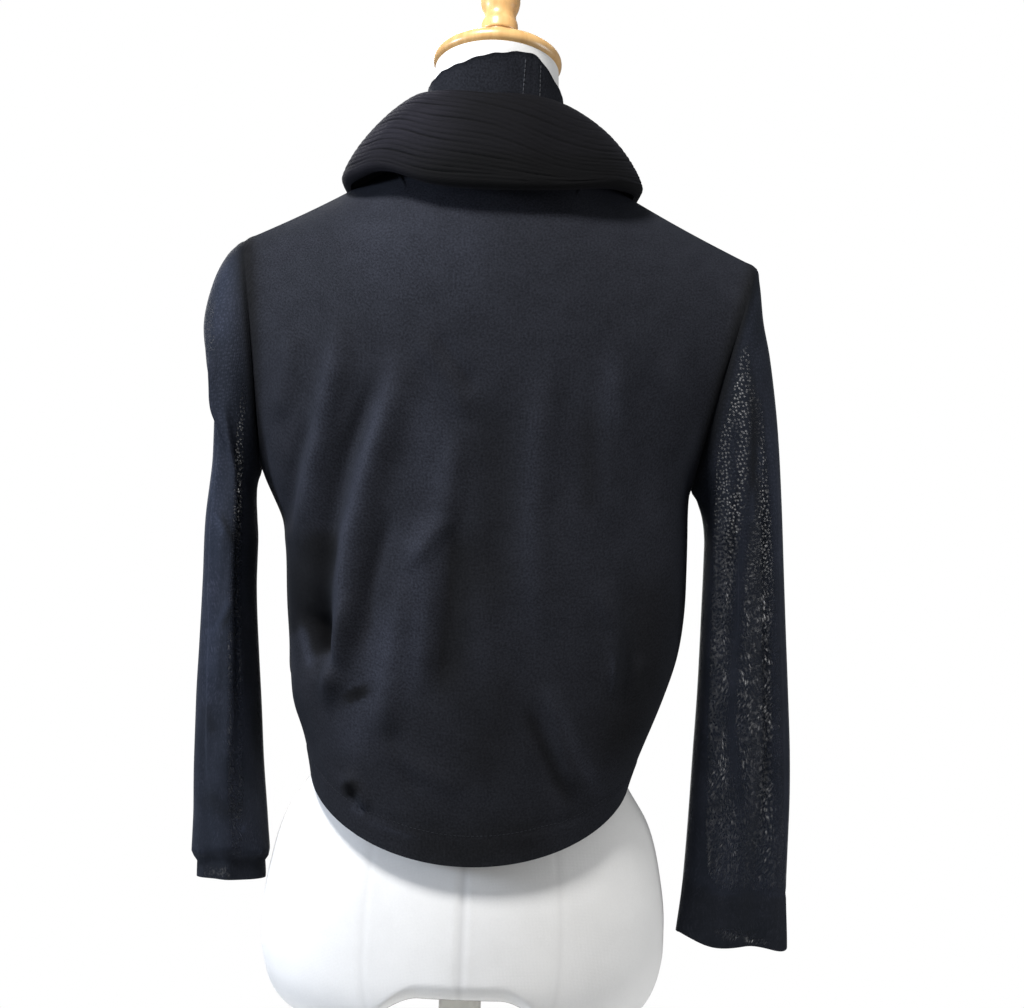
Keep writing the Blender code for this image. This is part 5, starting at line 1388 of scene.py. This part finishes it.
def make_wood_and_post(wood, paint):
    """Cap, finial, flange, pole and base."""
    head = (0.0, 0.0, CHEST_LEVEL + CAP_CENTRE_HEIGHT)
    half = 0.5 * CAP_THICKNESS
    cap = [(0.0495, -half), (0.0522, -0.0033), (CAP_RADIUS, 0.0), (0.0522, 0.0033), (0.0495, half)]
    turned("turned_cap", rounded(cap), wood, ("neck_cap",), CAP_TILT, head)
    post = [(0.0150, 0.0), (0.0152, 0.010), (0.0147, 0.0115), (0.0153, 0.013), (0.0153, 0.0195), (0.0148, 0.021),
            (0.0156, 0.0225), (0.0158, 0.030), (0.0140, 0.034), (0.0135, 0.039), (0.0165, 0.047), (0.0170, 0.055),
            (0.0145, 0.063), (0.0090, 0.069), (0.0035, 0.07155)]
    start = half + JOINT_GAP
    turned("turned_finial", [(radius, start + above) for radius, above in rounded(post)], wood,
           ("neck_finial",), CAP_TILT, head, grooves=(start + 0.0115, start + 0.021))
    flange_top = CHEST_LEVEL + ARCH_TOP - JOINT_GAP
    flange_foot = flange_top - FLANGE_HEIGHT
    flange = [(0.0235, flange_foot), (FLANGE_RADIUS, flange_foot + 0.0015), (FLANGE_RADIUS, flange_top - 0.0012),
              (FLANGE_RADIUS - 0.0012, flange_top)]
    turned("painted_flange", rounded(flange, 1), paint, ("pole_flange",))
    hub_top = BASE_THICKNESS + 0.030
    pole = [(POLE_RADIUS, hub_top + JOINT_GAP), (POLE_RADIUS, flange_foot - JOINT_GAP)]
    turned("painted_pole", pole, paint, ("pole",))
    base = [(BASE_RADIUS - 0.003, 0.0), (BASE_RADIUS, 0.003), (BASE_RADIUS, BASE_THICKNESS - 0.005),
            (BASE_RADIUS - 0.005, BASE_THICKNESS), (0.036, BASE_THICKNESS + 0.003),
            (0.027, BASE_THICKNESS + 0.010), (0.0245, hub_top - 0.002), (0.0225, hub_top)]
    turned("painted_base", rounded(base, 1), paint, ("stand_base",))


# ---------------------------------------------------------------- camera and room
def make_camera():
    """The camera that took the photograph."""
    lens = bpy.data.cameras.new("photo_camera")
    lens.sensor_width = 36.0
    lens.lens = FOCAL_PIXELS / PHOTO_WIDTH * lens.sensor_width
    lens.clip_start = 0.05
    camera = placed("photo_camera", lens)
    back = np.cross(CAMERA_RIGHT, CAMERA_UP)
    camera.matrix_world = Matrix([[CAMERA_RIGHT[i], CAMERA_UP[i], back[i], CAMERA_PLACE[i]] for i in range(3)]
                                 + [[0.0, 0.0, 0.0, 1.0]])
    bpy.context.scene.camera = camera


def soft_light(name, place, size, power, colour=(1.0, 1.0, 1.0)):
    """A round lamp that faces the garment."""
    lamp = bpy.data.lights.new(name, "AREA")
    lamp.shape = "DISK"
    lamp.size, lamp.energy, lamp.color = size, power, colour
    made = placed(name, lamp)
    made.location, made.rotation_mode = place, "QUATERNION"
    made.rotation_quaternion = (Vector(LIT_PLACE) - Vector(place)).to_track_quat("-Z", "Y")


def make_room():
    """White surroundings, four soft lights and a floor that fades out."""
    world = bpy.data.worlds.new("white_room")
    bpy.context.scene.world = world
    world.use_nodes = True
    nodes, links = world.node_tree.nodes, world.node_tree.links
    nodes.clear()
    ray, seen, lit, mixed, out = (nodes.new("ShaderNode" + kind) for kind in (
        "LightPath", "Background", "Background", "MixShader", "OutputWorld"))
    seen.inputs[0].default_value = (1.0, 1.0, 1.0, 1.0)
    seen.inputs[1].default_value = 1.0
    lit.inputs[0].default_value = (0.94, 0.97, 1.0, 1.0)
    lit.inputs[1].default_value = 0.25
    links.new(ray.outputs["Is Camera Ray"], mixed.inputs[0])
    links.new(lit.outputs[0], mixed.inputs[1])
    links.new(seen.outputs[0], mixed.inputs[2])
    links.new(mixed.outputs[0], out.inputs[0])
    bpy.context.scene.view_settings.view_transform = "Standard"
    bpy.context.scene.view_settings.look = "None"
    soft_light("overhead", (0.6, 0.95, 2.65), 0.5, 80.0)
    soft_light("window_left", (2.5, 0.75, 1.2), 0.6, 62.0, (0.76, 0.85, 1.0))
    soft_light("right_fill", (-2.4, 0.5, 0.7), 1.2, 30.0, (0.98, 0.99, 1.0))
    soft_light("front_fill", (0.6, -2.2, 1.8), 1.8, 60.0)
    mesh = bpy.data.meshes.new("pale_floor")
    turns = np.arange(96) * 360.0 / 96
    mesh.from_pydata(np.stack((1.5 * cosine(turns), 1.5 * sine(turns), 0.0 * turns), axis=-1).tolist(), [],
                     [tuple(range(len(turns)))])
    floor = placed("pale_floor", mesh)
    floor.location.z = -0.0004
    made = Finish("pale_floor", 0.7)
    place = made.node("TexCoord", out=3)
    length = made.node("VectorMath", {"operation": "LENGTH"}, {0: place}, out=1)
    grain = made.noise(place, 40.0, 2.0, 0.5)
    mesh.materials.append(made.feed(Base_Color=made.mix(grain, (0.66, 0.66, 0.66), (0.70, 0.70, 0.70)),
                                    Alpha=1.0 - length.over(0.35, 1.45)))


# ---------------------------------------------------------------- assembly
make_camera()
make_room()
body_knit = knit_finish("fine_double_knit")
rib_knit = rib_finish("ribbed_knit")
mesh_knit = {side: mesh_finish("sheer_mesh_" + side, slant, openness)
             for side, slant, openness in (("left", 1.0, 0.95), ("right", -1.0, 1.0))}
black_thread = thread_finish("black_thread", (0.013, 0.014, 0.018))
grey_thread = thread_finish("charcoal_thread", (0.050, 0.052, 0.058))

back, back_out, back_normals, back_up = make_back(body_knit)
hem_lines = [level_line(back_out, back_normals, back_up, HEM_HEIGHT)]
for side in ("left", "right"):
    front, front_out, front_normals, front_up = make_front(side, body_knit)
    hem_lines.append(level_line(front_out, front_normals, front_up, HEM_HEIGHT))
    band = make_band(side, rib_knit)
    sleeve = make_sleeve(side, mesh_knit[side])
stitch_rows("hem_stitching", hem_lines, black_thread)
collar = make_roll(rib_knit)
funnel, funnel_out, funnel_normals, funnel_across = make_stand(body_knit)
# Two rows beside the centre back, leaning a little to the wearer's right as they rise.
seam_lines = [
    [np.array([read_at(place + 0.004 * (r / 48 - 0.6), funnel_across[r], grid[r]) for r in range(4, 48)])
     for grid in (funnel_out, funnel_normals)] for place in (0.0222, 0.0378)]
stitch_rows("funnel_stitching", seam_lines, grey_thread, length=0.0034, gap=0.0003, radius=0.00042)
make_form(canvas_finish())
make_wood_and_post(wood_finish(), paint_finish())
